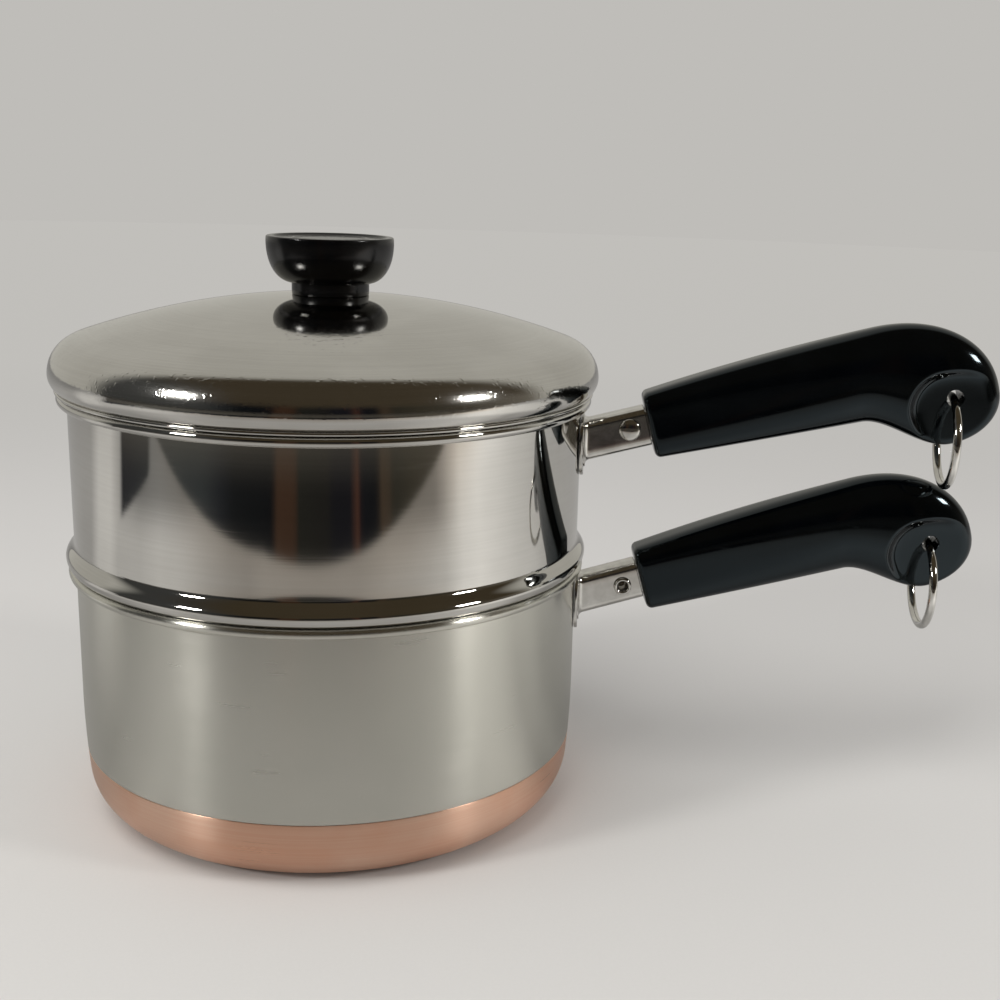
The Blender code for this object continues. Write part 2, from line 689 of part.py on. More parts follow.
def grip_section(along, inset=0.0):
    """One ring of the grip: boxy at the front, oval further back."""
    top = grip_top(along) - inset
    bottom = grip_bottom(along) + inset
    half = grip_half(along) - inset
    middle = (top + bottom) / 2
    tall = (top - bottom) / 2
    share = min(1.0, (along - GRIP_START) / (GRIP_HOOK_START - GRIP_START))
    power = 2 / (GRIP_FRONT_POWER + (GRIP_PALM_POWER - GRIP_FRONT_POWER) * share)
    ring = []
    for turn in np.linspace(0, math.tau, SECTION_POINTS, endpoint=False):
        across, up = math.cos(turn), math.sin(turn)
        y = half * math.copysign(abs(across) ** power, across)
        z = middle + tall * math.copysign(abs(up) ** power, up)
        ring.append((along, y, z))
    return ring


def grip(prefix):
    """The moulded grip, with a socket for the tang, a ring hole and a hollow each side of it."""
    rings = []
    for t in np.radians((0, 30, 60, 90)):
        along = GRIP_START + GRIP_FRONT_ROUND * (1 - math.cos(t))
        rings.append(grip_section(along, GRIP_FRONT_ROUND * (1 - math.sin(t))))
    for along in np.linspace(GRIP_START + GRIP_FIRST_STEP, GRIP_HOOK_START, 6):
        rings.append(grip_section(along))
    for t in np.radians(np.linspace(9, 88.5, 11)):
        along = GRIP_HOOK_START + (GRIP_END - GRIP_HOOK_START) * math.sin(t)
        rings.append(grip_section(along))
    body = bridged(prefix + "_grip", rings, PHENOLIC, 50)
    shape = bmesh.new()
    for side in (-1, 1):
        turn = Matrix.Translation((HOLLOW_ALONG, 0, HOLLOW_HEIGHT))
        turn = turn @ Matrix.Rotation(side * math.pi / 2, 4, "X")
        depth = (WEB_HALF, 2 * GRIP_MIDDLE_HALF)
        rod_into(shape, HOLLOW_RADIUS, depth, turn, HOLLOW_STEPS)
    hollows = finish(prefix + "_grip_hollows", shape, PHENOLIC)
    hole = cross_hole(
        prefix + "_grip_ring_drill",
        RING_HOLE_RADIUS,
        GRIP_MIDDLE_HALF,
        RING_HOLE_ALONG,
        RING_HOLE_HEIGHT,
    )
    width = CHANNEL_WIDTH - 2 * CHANNEL_SHEET
    height = CHANNEL_HEIGHT - 2 * CHANNEL_SHEET
    socket = bridged(
        prefix + "_grip_socket",
        rounded_box(
            width,
            height,
            CHANNEL_BEND - CHANNEL_SHEET,
            (GRIP_START - GRIP_FRONT_ROUND, TANG_LENGTH - TANG_BACK + GAP),
            CHANNEL_RAISE,
        ),
        PHENOLIC,
    )
    for cutter in (hollows, hole, socket):
        cut(body, cutter)
    return [body, hollows, hole, socket]


def ring(prefix):
    """The hanging ring, whose origin is on the hole it swings in."""
    shape = bmesh.new()
    loops = []
    for turn in np.linspace(0, math.tau, RING_STEPS, endpoint=False):
        loop = []
        for around in np.linspace(0, math.tau, WIRE_STEPS, endpoint=False):
            reach = RING_RADIUS + RING_WIRE * math.cos(around)
            height = reach * math.cos(turn) - RING_RADIUS
            point = (RING_WIRE * math.sin(around), reach * math.sin(turn), height)
            loop.append(shape.verts.new(point))
        loops.append(loop)
    for near, far in zip(loops, loops[1:] + loops[:1]):
        for i in range(WIRE_STEPS):
            j = (i + 1) % WIRE_STEPS
            shape.faces.new((near[i], near[j], far[j], far[i]))
    slew = Matrix.Rotation(math.radians(RING_TURN), 4, "Z")
    bmesh.ops.transform(shape, matrix=slew, verts=shape.verts)
    return finish(prefix + "_ring", shape, PLATED_STEEL, 80)


def handle(prefix, wall_radius, rivet_height, extra_rise, turn, hollow_side):
    """A whole handle on a vessel's wall, turned about the vessel's axis."""
    lie = handle_lie(wall_radius, rivet_height, extra_rise)
    axis = bpy.data.objects.new(prefix + "_handle_axis", None)
    axis.rotation_euler = (0, 0, math.radians(turn))
    bpy.context.collection.objects.link(axis)
    pieces = bracket(prefix, lie, wall_radius) + tang(prefix)
    pieces += rivet(prefix, hollow_side) + grip(prefix)
    for piece in pieces:
        piece.parent = axis
        piece.location = lie.translation
        piece.rotation_euler = lie.to_euler()
    loop = ring(prefix)
    loop.parent = axis
    loop.location = lie @ Vector((RING_HOLE_ALONG, 0, RING_HOLE_HEIGHT))
    place = axis.rotation_euler.to_matrix() @ loop.location
    print(prefix, "ring axis", [round(value, 6) for value in place])


def build():
    clear_scene()
    pan_shell()
    copper_base()
    steamer_shell()
    lid_shell()
    lid_stud()
    knob_insert()
    knob()
    handle("pan", PAN_RADIUS, PAN_RIVET_HEIGHT, PAN_EXTRA_RISE, 0.0, -1)
    handle("steamer", INSERT_RADIUS, INSERT_RIVET_HEIGHT, INSERT_EXTRA_RISE, INSERT_TURN, 1)


build()
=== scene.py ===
import math
from functools import partialmethod
import bmesh
import bpy
import numpy as np
from mathutils import Matrix, Vector


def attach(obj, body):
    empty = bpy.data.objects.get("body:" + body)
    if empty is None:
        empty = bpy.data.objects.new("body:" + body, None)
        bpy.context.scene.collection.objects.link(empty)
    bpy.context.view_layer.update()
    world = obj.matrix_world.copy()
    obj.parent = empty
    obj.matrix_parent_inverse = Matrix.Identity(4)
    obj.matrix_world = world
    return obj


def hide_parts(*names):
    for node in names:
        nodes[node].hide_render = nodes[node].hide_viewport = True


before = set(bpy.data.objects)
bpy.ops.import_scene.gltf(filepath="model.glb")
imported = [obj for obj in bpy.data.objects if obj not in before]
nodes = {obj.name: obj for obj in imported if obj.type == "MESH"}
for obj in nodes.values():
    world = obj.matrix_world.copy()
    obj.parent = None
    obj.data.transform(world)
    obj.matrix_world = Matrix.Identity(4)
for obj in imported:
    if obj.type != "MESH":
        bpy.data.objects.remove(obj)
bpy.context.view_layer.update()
print("frame:", len(nodes), "CAD nodes")

# All lengths are metres. Angles in the settings are degrees.
gap = 0.0003             # air between neighbouring pieces
weld = 1e-7              # points closer than this become one
turnSteps = 256          # columns round a turned piece
profileStep = 0.004      # longest stretch between two points of a turned profile
smoothTo = 35            # edges that turn by more degrees than this stay sharp


# Shapes from grids of points

def angles(start, end, count):
    # evenly from one angle to another, given in degrees and returned in radians
    return np.radians(np.linspace(start, end, count))


def arc(middleX, middleY, radius, start, end, count):
    # a point at each angle: middle plus radius times (cos, sin)
    t = angles(start, end, count)
    return np.stack([middleX + radius * np.cos(t), middleY + radius * np.sin(t)], axis=1)


def path(*parts):
    # single points and runs of points, one after the other
    return np.vstack([np.atleast_2d(np.asarray(part, float)) for part in parts])


def rounded(corners, radii, count=6):
    # each corner gives way to an arc that touches both of its sides: the arc starts and ends
    # at radius / tan(half the angle between the sides) from the corner
    corners = np.asarray(corners, float)
    made = [corners[:1]]
    for before, corner, after, radius in zip(corners, corners[1:], corners[2:], radii):
        back = (before - corner) / np.linalg.norm(before - corner)
        on = (after - corner) / np.linalg.norm(after - corner)
        half = math.acos(np.clip(back @ on, -1, 1)) / 2
        middle = corner + (back + on) / np.linalg.norm(back + on) * radius / math.sin(half)
        first = corner + back * radius / math.tan(half) - middle
        last = corner + on * radius / math.tan(half) - middle
        share = np.linspace(0, 1, count)[:, None]
        sweep = math.pi - 2 * half
        bend = (np.sin((1 - share) * sweep) * first + np.sin(share * sweep) * last)
        made.append(middle + bend / math.sin(sweep))
    made.append(corners[-1:])
    return np.vstack(made)


def shifted(points, distance):
    # every point moves to the left of the path by the distance, mitred at the corners
    steps = np.diff(points, axis=0)
    steps /= np.linalg.norm(steps, axis=1)[:, None]
    normals = np.stack([-steps[:, 1], steps[:, 0]], axis=1)
    corner = np.vstack([normals[:1], normals]) + np.vstack([normals, normals[-1:]])
    corner *= 2 / (corner**2).sum(1)[:, None]
    return points + distance * corner


def divided(points, longest):
    # long straight stretches get extra points, so that no stretch is over the limit
    made = [points[:1]]
    for first, last in zip(points, points[1:]):
        count = max(1, math.ceil(np.linalg.norm(last - first) / longest))
        share = np.linspace(0, 1, count + 1)[1:, None]
        made.append(first + share * (last - first))
    return np.vstack(made)


def skin(name, grid, wrapRows=False, along=None):
    # a grid of points, rows by columns, becomes one closed skin of quads. Points that fall
    # together are welded, which closes poles, and the sign of the volume turns it outwards
    rows, columns = grid.shape[:2]
    flat = grid.reshape(-1, 3)
    keys = np.round(flat / weld).astype(np.int64)
    _, first, index = np.unique(keys, axis=0, return_index=True, return_inverse=True)
    index = index.reshape(-1)
    r = np.arange(rows if wrapRows else rows - 1)[:, None]
    c = np.arange(columns)[None, :]
    nextR, nextC = (r + 1) % rows, (c + 1) % columns
    corners = [r * columns + c, r * columns + nextC, nextR * columns + nextC, nextR * columns + c]
    quads = index[np.stack(corners, -1).reshape(-1, 4)]
    points = flat[first]
    a, b, d, e = (points[quads[:, k]] for k in range(4))
    volume = (a * np.cross(b, d)).sum() + (a * np.cross(d, e)).sum()
    if volume < 0:
        quads = quads[:, ::-1]
    keep = quads != np.roll(quads, 1, axis=1)
    whole = keep.sum(1) > 2
    quads, keep = quads[whole], keep[whole]
    counts = keep.sum(1)
    mesh = bpy.data.meshes.new(name)
    mesh.vertices.add(len(points))
    mesh.vertices.foreach_set("co", points.astype(np.float32).ravel())
    mesh.loops.add(int(counts.sum()))
    mesh.loops.foreach_set("vertex_index", quads[keep].astype(np.int32))
    mesh.polygons.add(len(counts))
    starts = np.concatenate([[0], np.cumsum(counts)[:-1]])
    mesh.polygons.foreach_set("loop_start", starts.astype(np.int32))
    mesh.update(calc_edges=True)
    mesh.validate()
    if along is not None:
        values = np.repeat(np.asarray(along, np.float32)[:, None], columns, axis=1).ravel()
        layer = mesh.attributes.new("along", "FLOAT", "POINT")
        layer.data.foreach_set("value", values[first])
    return linked(name, smoothed(mesh))


def smoothed(mesh):
    # shaded smooth except at edges that turn by more than the limit
    mesh.shade_smooth()
    mesh.set_sharp_from_angle(angle=math.radians(smoothTo))
    return mesh


def linked(name, data):
    # an object for a mesh, a lamp or a camera, in the scene
    made = bpy.data.objects.new(name, data)
    bpy.context.scene.collection.objects.link(made)
    return made


def fromShape(name, shape):
    # a bmesh becomes a linked object
    mesh = bpy.data.meshes.new(name)
    shape.to_mesh(mesh)
    shape.free()
    return linked(name, smoothed(mesh))


def lengthAlong(points):
    # how far along the path each point lies
    steps = np.linalg.norm(np.diff(points, axis=0), axis=1)
    return np.concatenate([[0], np.cumsum(steps)])


def circle(count):
    # angles evenly round a turn, the last one short of the first
    return np.linspace(0, math.tau, count, endpoint=False)


def spun(outline, steps, axis="z"):
    # (radius, height) carried round an axis: radius cos t, radius sin t and the height along it
    t = circle(steps)
    across, up = outline[:, :1] * np.cos(t), outline[:, :1] * np.sin(t)
    along = np.repeat(outline[:, 1:], steps, axis=1)
    return np.stack([across, up, along] if axis == "z" else [across, along, up], axis=-1)


def turned(name, outline, steps=turnSteps, longest=profileStep):
    # a piece turned about Z. An outline off the axis is a closed loop and is wrapped
    outline = divided(outline, longest)
    wraps = min(outline[0, 0], outline[-1, 0]) > weld
    return skin(name, spun(outline, steps), wraps, lengthAlong(outline))


def placed(grid, place):
    # every point of a grid through a 4 by 4 matrix
    turn = np.array(place)
    return grid @ turn[:3, :3].T + turn[:3, 3]


def cutBy(piece, cutter, operation="DIFFERENCE"):
    # an exact boolean, worked out now, so that the piece ends with a plain mesh
    change = piece.modifiers.new("cut", "BOOLEAN")
    change.object = cutter
    change.operation = operation
    change.solver = "EXACT"
    graph = bpy.context.evaluated_depsgraph_get()
    mesh = bpy.data.meshes.new_from_object(piece.evaluated_get(graph))
    piece.modifiers.clear()
    piece.data = smoothed(mesh)
    bpy.data.objects.remove(cutter, do_unlink=True)


# Finishes

def tone(*values):
    # a colour as a screen gives it, 0 to 255, as the linear light that the shaders use
    return tuple(((v / 255 + 0.055) / 1.055) ** 2.4 if v > 10 else v / 255 / 12.92 for v in values)


class Wire:
    # one output socket; arithmetic on it adds Math nodes
    def __init__(self, recipe, socket):
        self.recipe = recipe
        self.socket = socket

    def maths(self, operation, *others, flip=False):
        values = (*others, self) if flip else (self, *others)
        return self.recipe.node("Math", {"operation": operation}, *values)

    __add__ = __radd__ = partialmethod(maths, "ADD")
    __sub__ = partialmethod(maths, "SUBTRACT")
    __rsub__ = partialmethod(maths, "SUBTRACT", flip=True)
    __mul__ = __rmul__ = partialmethod(maths, "MULTIPLY")
    __truediv__ = partialmethod(maths, "DIVIDE")

    def ramp(self, low, high):
        # a smooth step from 0 at low to 1 at high
        return self.recipe.node("MapRange", {"interpolation_type": "SMOOTHSTEP"}, self, low, high)


class Recipe:
    # the node tree of one finish
    def __init__(self, name, holder=None):
        self.holder = holder or bpy.data.materials.new(name)
        self.holder.use_nodes = True
        self.tree = self.holder.node_tree
        self.surface = self.tree.nodes.get("Principled BSDF")

    def node(self, kind, settings=None, *values, out=0, **named):
        # values feed the inputs in order, named ones by their name
        made = self.tree.nodes.new("ShaderNode" + kind)
        for key, value in (settings or {}).items():
            setattr(made, key, value)
        for place, value in enumerate(values):
            self.feed(made.inputs[place], value)
        for key, value in named.items():
            self.feed(made.inputs[key], value)
        return Wire(self, made.outputs[out])

    def feed(self, socket, value):
        if isinstance(value, Wire):
            self.tree.links.new(value.socket, socket)
        elif value is not None:
            socket.default_value = value

    def set(self, **values):
        # sockets of the shader by name, with underscores for spaces
        for key, value in values.items():
            if isinstance(value, tuple) and len(value) == 3:
                value = (*value, 1.0)
            self.feed(self.surface.inputs[key.replace("_", " ")], value)

    def place(self):
        return self.node("TexCoord", out=3)

    def parts(self, vector):
        split = self.node("SeparateXYZ", None, vector)
        return [Wire(self, socket) for socket in split.socket.node.outputs]

    def vector(self, x, y, z):
        return self.node("CombineXYZ", None, x, y, z)

    def noise(self, vector, scale=1.0, detail=2.0, roughness=0.5):
        return self.node(
            "TexNoise", None, Vector=vector, Scale=scale, Detail=detail, Roughness=roughness)

    def streaks(self, along, across, detail=2.0, roughness=0.5):
        # noise drawn out along X
        x, y, z = self.parts(self.place())
        return self.noise(self.vector(x * along, y * across, z * across), 1.0, detail, roughness)

    def colours(self, factor, first, second):
        mix = self.tree.nodes.new("ShaderNodeMix")
        mix.data_type = "RGBA"
        for place, value in ((0, factor), (6, first), (7, second)):
            if isinstance(value, tuple):
                value = (*value, 1.0)
            self.feed(mix.inputs[place], value)
        return Wire(self, mix.outputs[2])

    def bands(self, factor, stops):
        # a colour for each place between 0 and 1, from (place, colour) pairs
        made = self.tree.nodes.new("ShaderNodeValToRGB")
        elements = made.color_ramp.elements
        elements[0].position, elements[1].position = stops[0][0], stops[-1][0]
        elements[0].color, elements[1].color = (*stops[0][1], 1.0), (*stops[-1][1], 1.0)
        for spot, colour in stops[1:-1]:
            elements.new(spot).color = (*colour, 1.0)
        self.feed(made.inputs[0], factor)
        return Wire(self, made.outputs[0])

    def product(self, factor, first, second):
        # first times second, as far as the factor says
        mix = self.colours(factor, first, second)
        mix.socket.node.blend_type = "MULTIPLY"
        return mix

    def azimuth(self, x, y):
        # 0 to 1 for -180 to 180 degrees; in front, on -Y, is 0.5 and it grows towards +X
        return x.maths("ARCTAN2", 0.0 - y) / math.tau + 0.5

    def bump(self, height, distance):
        return self.node("Bump", None, Strength=1.0, Distance=distance, Height=height)

    def rays(self, kind):
        # 1 for rays of one kind, straight from the camera or off a glossy surface
        return self.node("LightPath", out={"camera": 0, "glossy": 3}[kind])


# The marks of each kind of finish: how often one repeats in a metre, between which noise values
# it sets in (Edge), and how much it adds
turnedMarks = {
    "lineRound": 18, "broadRound": 14, "broadAlong": 160, "stain": 26.0, "stainEdge": (0.35, 0.65),
    "stainShare": 0.6, "lineEdge": (0.3, 0.7), "rubRound": 55, "rubAlong": 800, "rubEdge": (0.68, 0.76),
    "rubRough": 0.1, "speck": 620.0, "speckEdge": (0.56, 0.74), "leastRough": 0.02,
}
drawnMarks = {
    "grainAlong": 90, "grainAcross": 900, "grainRough": 0.06, "stain": 190.0, "stainEdge": (0.3, 0.7),
    "stainRough": 0.10,
}
mouldedMarks = {
    "peel": 420.0, "wear": 60.0, "wearEdge": (0.35, 0.75), "hairAlong": 160, "hairAcross": 1500,
    "hairEdge": (0.66, 0.72), "hairRough": 0.08, "peelShare": 0.7, "wearShare": 0.3, "hairDepth": 0.4,
    "gleamLevel": 0.42,
}


def turnedSteel(name, look):
    # Lines follow the turning: noise that is slow round the piece and fast along its profile.
    # Stains change the roughness, and a few short deeper rubs stand out from the lines
    recipe, marks = Recipe(name), turnedMarks
    x, y, _ = recipe.parts(recipe.place())
    along = recipe.node("Attribute", {"attribute_name": "along"}, out=2)

    def rings(across, fast, detail, roughness):
        spot = recipe.vector(x * across, y * across, along * fast)
        return recipe.noise(spot, 1.0, detail, roughness)

    fine = rings(marks["lineRound"], look["lines"], 4.0, 0.6)
    broad = rings(marks["broadRound"], marks["broadAlong"], 3.0, 0.5)
    stain = recipe.noise(recipe.vector(x, y, along), marks["stain"], 3.0, 0.55)
    rubs = rings(marks["rubRound"], marks["rubAlong"], 2.0, 0.4).ramp(*marks["rubEdge"])
    rough = look["roughness"] + (fine - 0.5) * look["lineRough"] + (stain - 0.5) * look["stainRough"]
    worn = None
    if "worn" in look:
        # a stretch of the profile that is worn dull, from nothing to full and back to nothing
        start, full, ease, end = look["worn"]
        worn = along.ramp(start, full) * (1.0 - along.ramp(ease, end))
        rough = rough + worn * look["dulled"]
    rough = rough + rubs * look["rubs"] * marks["rubRough"]
    share = marks["stainShare"]
    tint = stain.ramp(*marks["stainEdge"]) * share + fine.ramp(*marks["lineEdge"]) * (1 - share)
    height = fine * (1 - look["waves"]) + broad * look["waves"] - rubs * look["rubs"]
    if worn:
        # sparse specks, each with a slope of its own
        specks = recipe.noise(recipe.place(), marks["speck"], 1.0).ramp(*marks["speckEdge"])
        height = height + specks * worn * look["sparkle"]
    recipe.set(
        Base_Color=recipe.colours(tint, look["dark"], look["light"]),
        Roughness=rough.maths("MAXIMUM", marks["leastRough"]),
        Metallic=1.0,
        Anisotropic=look["stretch"],
        Anisotropic_Rotation=0.25,   # a quarter turn, across the lines
        Normal=recipe.bump(height, look["depth"]),
    )
    return recipe.holder


def plainSteel(name, look):
    # Folded and drawn fittings: lines along X, soft stains and a slight ripple
    recipe, marks = Recipe(name), drawnMarks
    grain = recipe.streaks(marks["grainAlong"], marks["grainAcross"], 3.0, 0.6)
    stain = recipe.noise(recipe.place(), marks["stain"], 3.0, 0.6)
    change = (stain - 0.5) * marks["stainRough"] + (grain - 0.5) * marks["grainRough"]
    recipe.set(
        Base_Color=recipe.colours(stain.ramp(*marks["stainEdge"]), look["dark"], look["light"]),
        Roughness=look["roughness"] + change,
        Metallic=1.0,
        Normal=recipe.bump(grain * 0.5 + stain * 0.5, look["depth"]),
    )
    return recipe.holder


def mouldedBlack(name, look):
    # Polished phenolic: almost black, with a faint orange peel, soft wear and hair scratches
    recipe, marks = Recipe(name), mouldedMarks
    peel = recipe.noise(recipe.place(), marks["peel"])
    wear = recipe.noise(recipe.place(), marks["wear"], 4.0, 0.6)
    hairs = recipe.streaks(marks["hairAlong"], marks["hairAcross"]).ramp(*marks["hairEdge"])
    height = peel * marks["peelShare"] + wear * marks["wearShare"] - hairs * marks["hairDepth"]
    recipe.set(
        Base_Color=recipe.colours(wear.ramp(*marks["wearEdge"]), look["dark"], look["light"]),
        Roughness=look["roughness"] + (wear - 0.5) * look["wear"] + hairs * marks["hairRough"],
        Specular_IOR_Level=marks["gleamLevel"],
        Specular_Tint=look.get("gleam", (1.0, 1.0, 1.0)),
        IOR=1.5,
        Normal=recipe.bump(height, look["depth"]),
    )
    return recipe.holder


looks = {
    "panSteel": (turnedSteel, {
        "dark": (0.63, 0.625, 0.565), "light": (0.70, 0.69, 0.63), "roughness": 0.24, "lines": 2400,
        "lineRough": 0.07, "stainRough": 0.08, "stretch": 0.95, "waves": 0.15, "rubs": 0.35,
        "depth": 0.0000020}),
    "mirrorSteel": (turnedSteel, {
        "dark": (0.56, 0.55, 0.52), "light": (0.64, 0.63, 0.60), "roughness": 0.048, "lines": 1200,
        "lineRough": 0.02, "stainRough": 0.03, "stretch": 0.6, "waves": 0.0, "rubs": 0.2,
        "depth": 0.0000014}),
    "lidSteel": (turnedSteel, {
        "dark": (0.57, 0.56, 0.53), "light": (0.66, 0.65, 0.62), "roughness": 0.06, "lines": 1800,
        "lineRough": 0.03, "stainRough": 0.05, "stretch": 0.4, "waves": 0.1, "rubs": 0.4,
        "worn": (0.045, 0.078, 0.092, 0.108), "dulled": 0.07, "sparkle": 14.0, "depth": 0.0000022}),
    "copperSatin": (turnedSteel, {
        "dark": (0.86, 0.49, 0.34), "light": (0.94, 0.64, 0.49), "roughness": 0.30, "lines": 2000,
        "lineRough": 0.08, "stainRough": 0.08, "stretch": 0.95, "waves": 0.15, "rubs": 0.3,
        "depth": 0.0000030}),
    "platedSteel": (plainSteel, {
        "dark": (0.56, 0.55, 0.52), "light": (0.70, 0.69, 0.66), "roughness": 0.14, "depth": 0.000004}),
    "ringSteel": (plainSteel, {
        "dark": (0.60, 0.59, 0.56), "light": (0.74, 0.73, 0.70), "roughness": 0.08, "depth": 0.000002}),
    "phenolic": (mouldedBlack, {
        "dark": (0.0004, 0.0006, 0.0009), "light": (0.0010, 0.0013, 0.0017), "roughness": 0.08,
        "gleam": (0.72, 0.90, 1.0), "wear": 0.06, "depth": 0.000003}),
    "knobPhenolic": (mouldedBlack, {
        "dark": (0.0012, 0.0012, 0.0014), "light": (0.0035, 0.0035, 0.0038), "roughness": 0.19,
        "wear": 0.10, "depth": 0.000006}),
    "plainBrass": (plainSteel, {
        "dark": (0.60, 0.44, 0.20), "light": (0.74, 0.58, 0.32), "roughness": 0.3, "depth": 0.00001}),
}
finishes = {name: make(name, look) for name, (make, look) in looks.items()}


def coated(piece, finish):
    # a piece or a CAD node gets its finish
    piece.data.materials.clear()
    piece.data.materials.append(finishes[finish])


def finished(piece, finish, body, node):
    # a piece of this script takes the place of a CAD node
    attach(piece, body)
    coated(piece, finish)
    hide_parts(node)


# The saucepan and its copper base

pan = {
    "radius": 0.0865, "height": 0.0878, "sheet": 0.0013, "floorSheet": 0.0010, "corner": 0.0175,
    "bellyRadius": 0.300, "bellyTurn": 5.0,
    "rimProud": 0.0024, "rimRoll": 0.0017, "copperSheet": 0.0005, "copperHeight": 0.0233,
    "copperLine": 0.00006,   # width of the seam that shows between copper and steel
    "edge": 0.0002,
}


def rolledRim(wall, bore, proud, roll, top):
    # the roll is an arc from where it meets the wall to the top, then a softer one to the bore
    middle = wall + proud - roll
    meets = math.degrees(math.acos(max(-1.0, (wall - middle) / roll)))
    outer = arc(middle, top - roll, roll, -meets, 90, 22)
    inner = arc(bore + roll, top - roll, roll, 90, 180, 10)
    return path(outer, inner)


def panCorner(s, inset, count):
    # the corner between floor and wall, moved in by the inset
    swing = s["bellyRadius"] - s["corner"]
    middle = s["radius"] - s["bellyRadius"] + swing * math.cos(math.radians(s["bellyTurn"]))
    return arc(middle, s["corner"], s["corner"] - inset, -90, -s["bellyTurn"], count)


def panBelly(s, inset, low, high, count):
    # the long curve by which the wall draws in to the corner, between two heights. It ends
    # where the wall is straight if high is None
    swing = s["bellyRadius"] - s["corner"]
    top = s["corner"] + swing * math.sin(math.radians(s["bellyTurn"]))
    heights = np.linspace(low, top if high is None else high, count)
    reach = np.sqrt((s["bellyRadius"] - inset) ** 2 - np.minimum(0, heights - top) ** 2)
    return np.stack([s["radius"] - s["bellyRadius"] + reach, heights], 1)


def panOutline(s):
    recess = s["copperSheet"] + gap
    bore = s["radius"] - s["sheet"]
    floor = recess + s["floorSheet"]
    step = s["copperHeight"] + s["copperLine"]
    edge = s["edge"]
    wall = panBelly(s, 0, step + edge, None, 12)
    return path(
        (0, recess),
        panCorner(s, recess, 12),
        panBelly(s, recess, step, step, 1),
        arc(wall[0][0] - edge, step + edge, edge, -90, 0, 4),
        wall[1:],
        rolledRim(s["radius"], bore, s["rimProud"], s["rimRoll"], s["height"]),
        panBelly(s, s["sheet"], step, None, 12)[::-1],
        panCorner(s, s["sheet"], 14)[::-1] + (0, floor - s["sheet"]),
        (0, floor),
    )


def copperOutline(s):
    edge = s["edge"] / 2
    wall = panBelly(s, 0, s["corner"] + edge, s["copperHeight"] - edge, 4)
    return path(
        (0, 0),
        panCorner(s, 0, 22),
        wall[1:-1],
        arc(wall[-1][0] - edge, s["copperHeight"] - edge, edge, 0, 90, 4),
        panBelly(s, s["copperSheet"], s["copperHeight"], s["copperHeight"], 1),
        panCorner(s, s["copperSheet"], 12)[::-1],
        (0, s["copperSheet"]),
    )


panBody = turned("pan_body", panOutline(pan))
finished(panBody, "panSteel", "saucepan", "pan_shell")
copperCup = turned("copper_cup", copperOutline(pan))
finished(copperCup, "copperSatin", "saucepan", "copper_base")
print("saucepan and copper base made")


# The steamer insert

insert = {
    "radius": 0.0867, "sheet": 0.0010, "height": 0.0579, "rimProud": 0.0033, "rimRoll": 0.0017,
    "shoulderProud": 0.0028, "shoulderHeight": 0.0083, "footShare": 0.36, "undercut": 0.0021,
    "seatBend": 0.0016,
    "plugDepth": 0.026, "plugCorner": 0.008, "plugPlay": 0.0006,
    "holeRadius": 0.0028, "holePitch": 0.0155, "holeRings": 4, "holeSides": 28,
}
insertSeat = pan["height"] + gap
insertTop = insertSeat + insert["height"]
insertBore = insert["radius"] - insert["sheet"]


def insertOutline(s):
    # outside from the floor's middle up to the rim, then the same path one sheet further in
    floor = insertSeat - s["plugDepth"]
    plug = pan["radius"] - pan["sheet"] - s["plugPlay"]
    widest = s["radius"] + s["shoulderProud"]
    lower = s["footShare"] * s["shoulderHeight"]
    upper = s["shoulderHeight"] - lower
    foot = widest - s["undercut"]
    t = angles(-90, 0, 10)
    under = np.stack([foot + (widest - foot) * np.cos(t), insertSeat + lower * (1 + np.sin(t))], 1)
    share = np.linspace(0, 1, 19)[1:]
    fall = s["shoulderProud"] * (0.5 + 0.5 * np.cos(math.pi * share))
    over = np.stack([s["radius"] + fall, insertSeat + lower + upper * share], 1)
    outside = path(
        (0, floor),
        arc(plug - s["plugCorner"], floor + s["plugCorner"], s["plugCorner"], -90, 0, 12),
        arc(plug + s["seatBend"], insertSeat - s["seatBend"], s["seatBend"], 180, 90, 7),
        under,
        over,
    )
    wallTop = insertTop - s["rimRoll"]
    inside = shifted(path(outside, (s["radius"], wallTop)), s["sheet"])
    inside[0] = (0, floor + s["sheet"])
    rim = rolledRim(s["radius"], insertBore, s["rimProud"], s["rimRoll"], insertTop)
    return path(outside, rim, inside[-2::-1])


def steamDrills(s):
    # one drill in the middle and rings of six, twelve and eighteen round it, every second
    # ring turned by half a step; all drills are one object
    shape = bmesh.new()
    floor = insertSeat - s["plugDepth"]
    for ring in range(s["holeRings"]):
        count = max(1, 6 * ring)
        for hole in range(count):
            angle = math.tau * (hole + 0.5 * (ring % 2)) / count
            reach = s["holePitch"] * ring
            spot = Matrix.Translation((reach * math.cos(angle), reach * math.sin(angle), floor))
            bmesh.ops.create_cone(
                shape, cap_ends=True, segments=s["holeSides"], radius1=s["holeRadius"],
                radius2=s["holeRadius"], depth=4 * s["sheet"], matrix=spot)
    return fromShape("steamDrills", shape)


steamerBody = turned("steamer_body", insertOutline(insert))
cutBy(steamerBody, steamDrills(insert))
finished(steamerBody, "mirrorSteel", "steamer", "steamer_shell")
print("steamer insert made")


# The lid and its knob

lid = {
    "overhang": 0.0055, "rise": 0.0318, "sheet": 0.0009, "crownRadius": 0.252,
    "shoulderRadius": 0.012, "tuckRadius": 0.006, "tuckAngle": 50, "plugDepth": 0.006,
    "plugPlay": 0.0006, "bend": 0.0012, "bead": 0.0006, "beadStart": 75,
    "notch": 0.0005, "notchDrop": 0.0001,
}
lidSeat = insertTop + gap
lidCrown = lidSeat + lid["rise"]


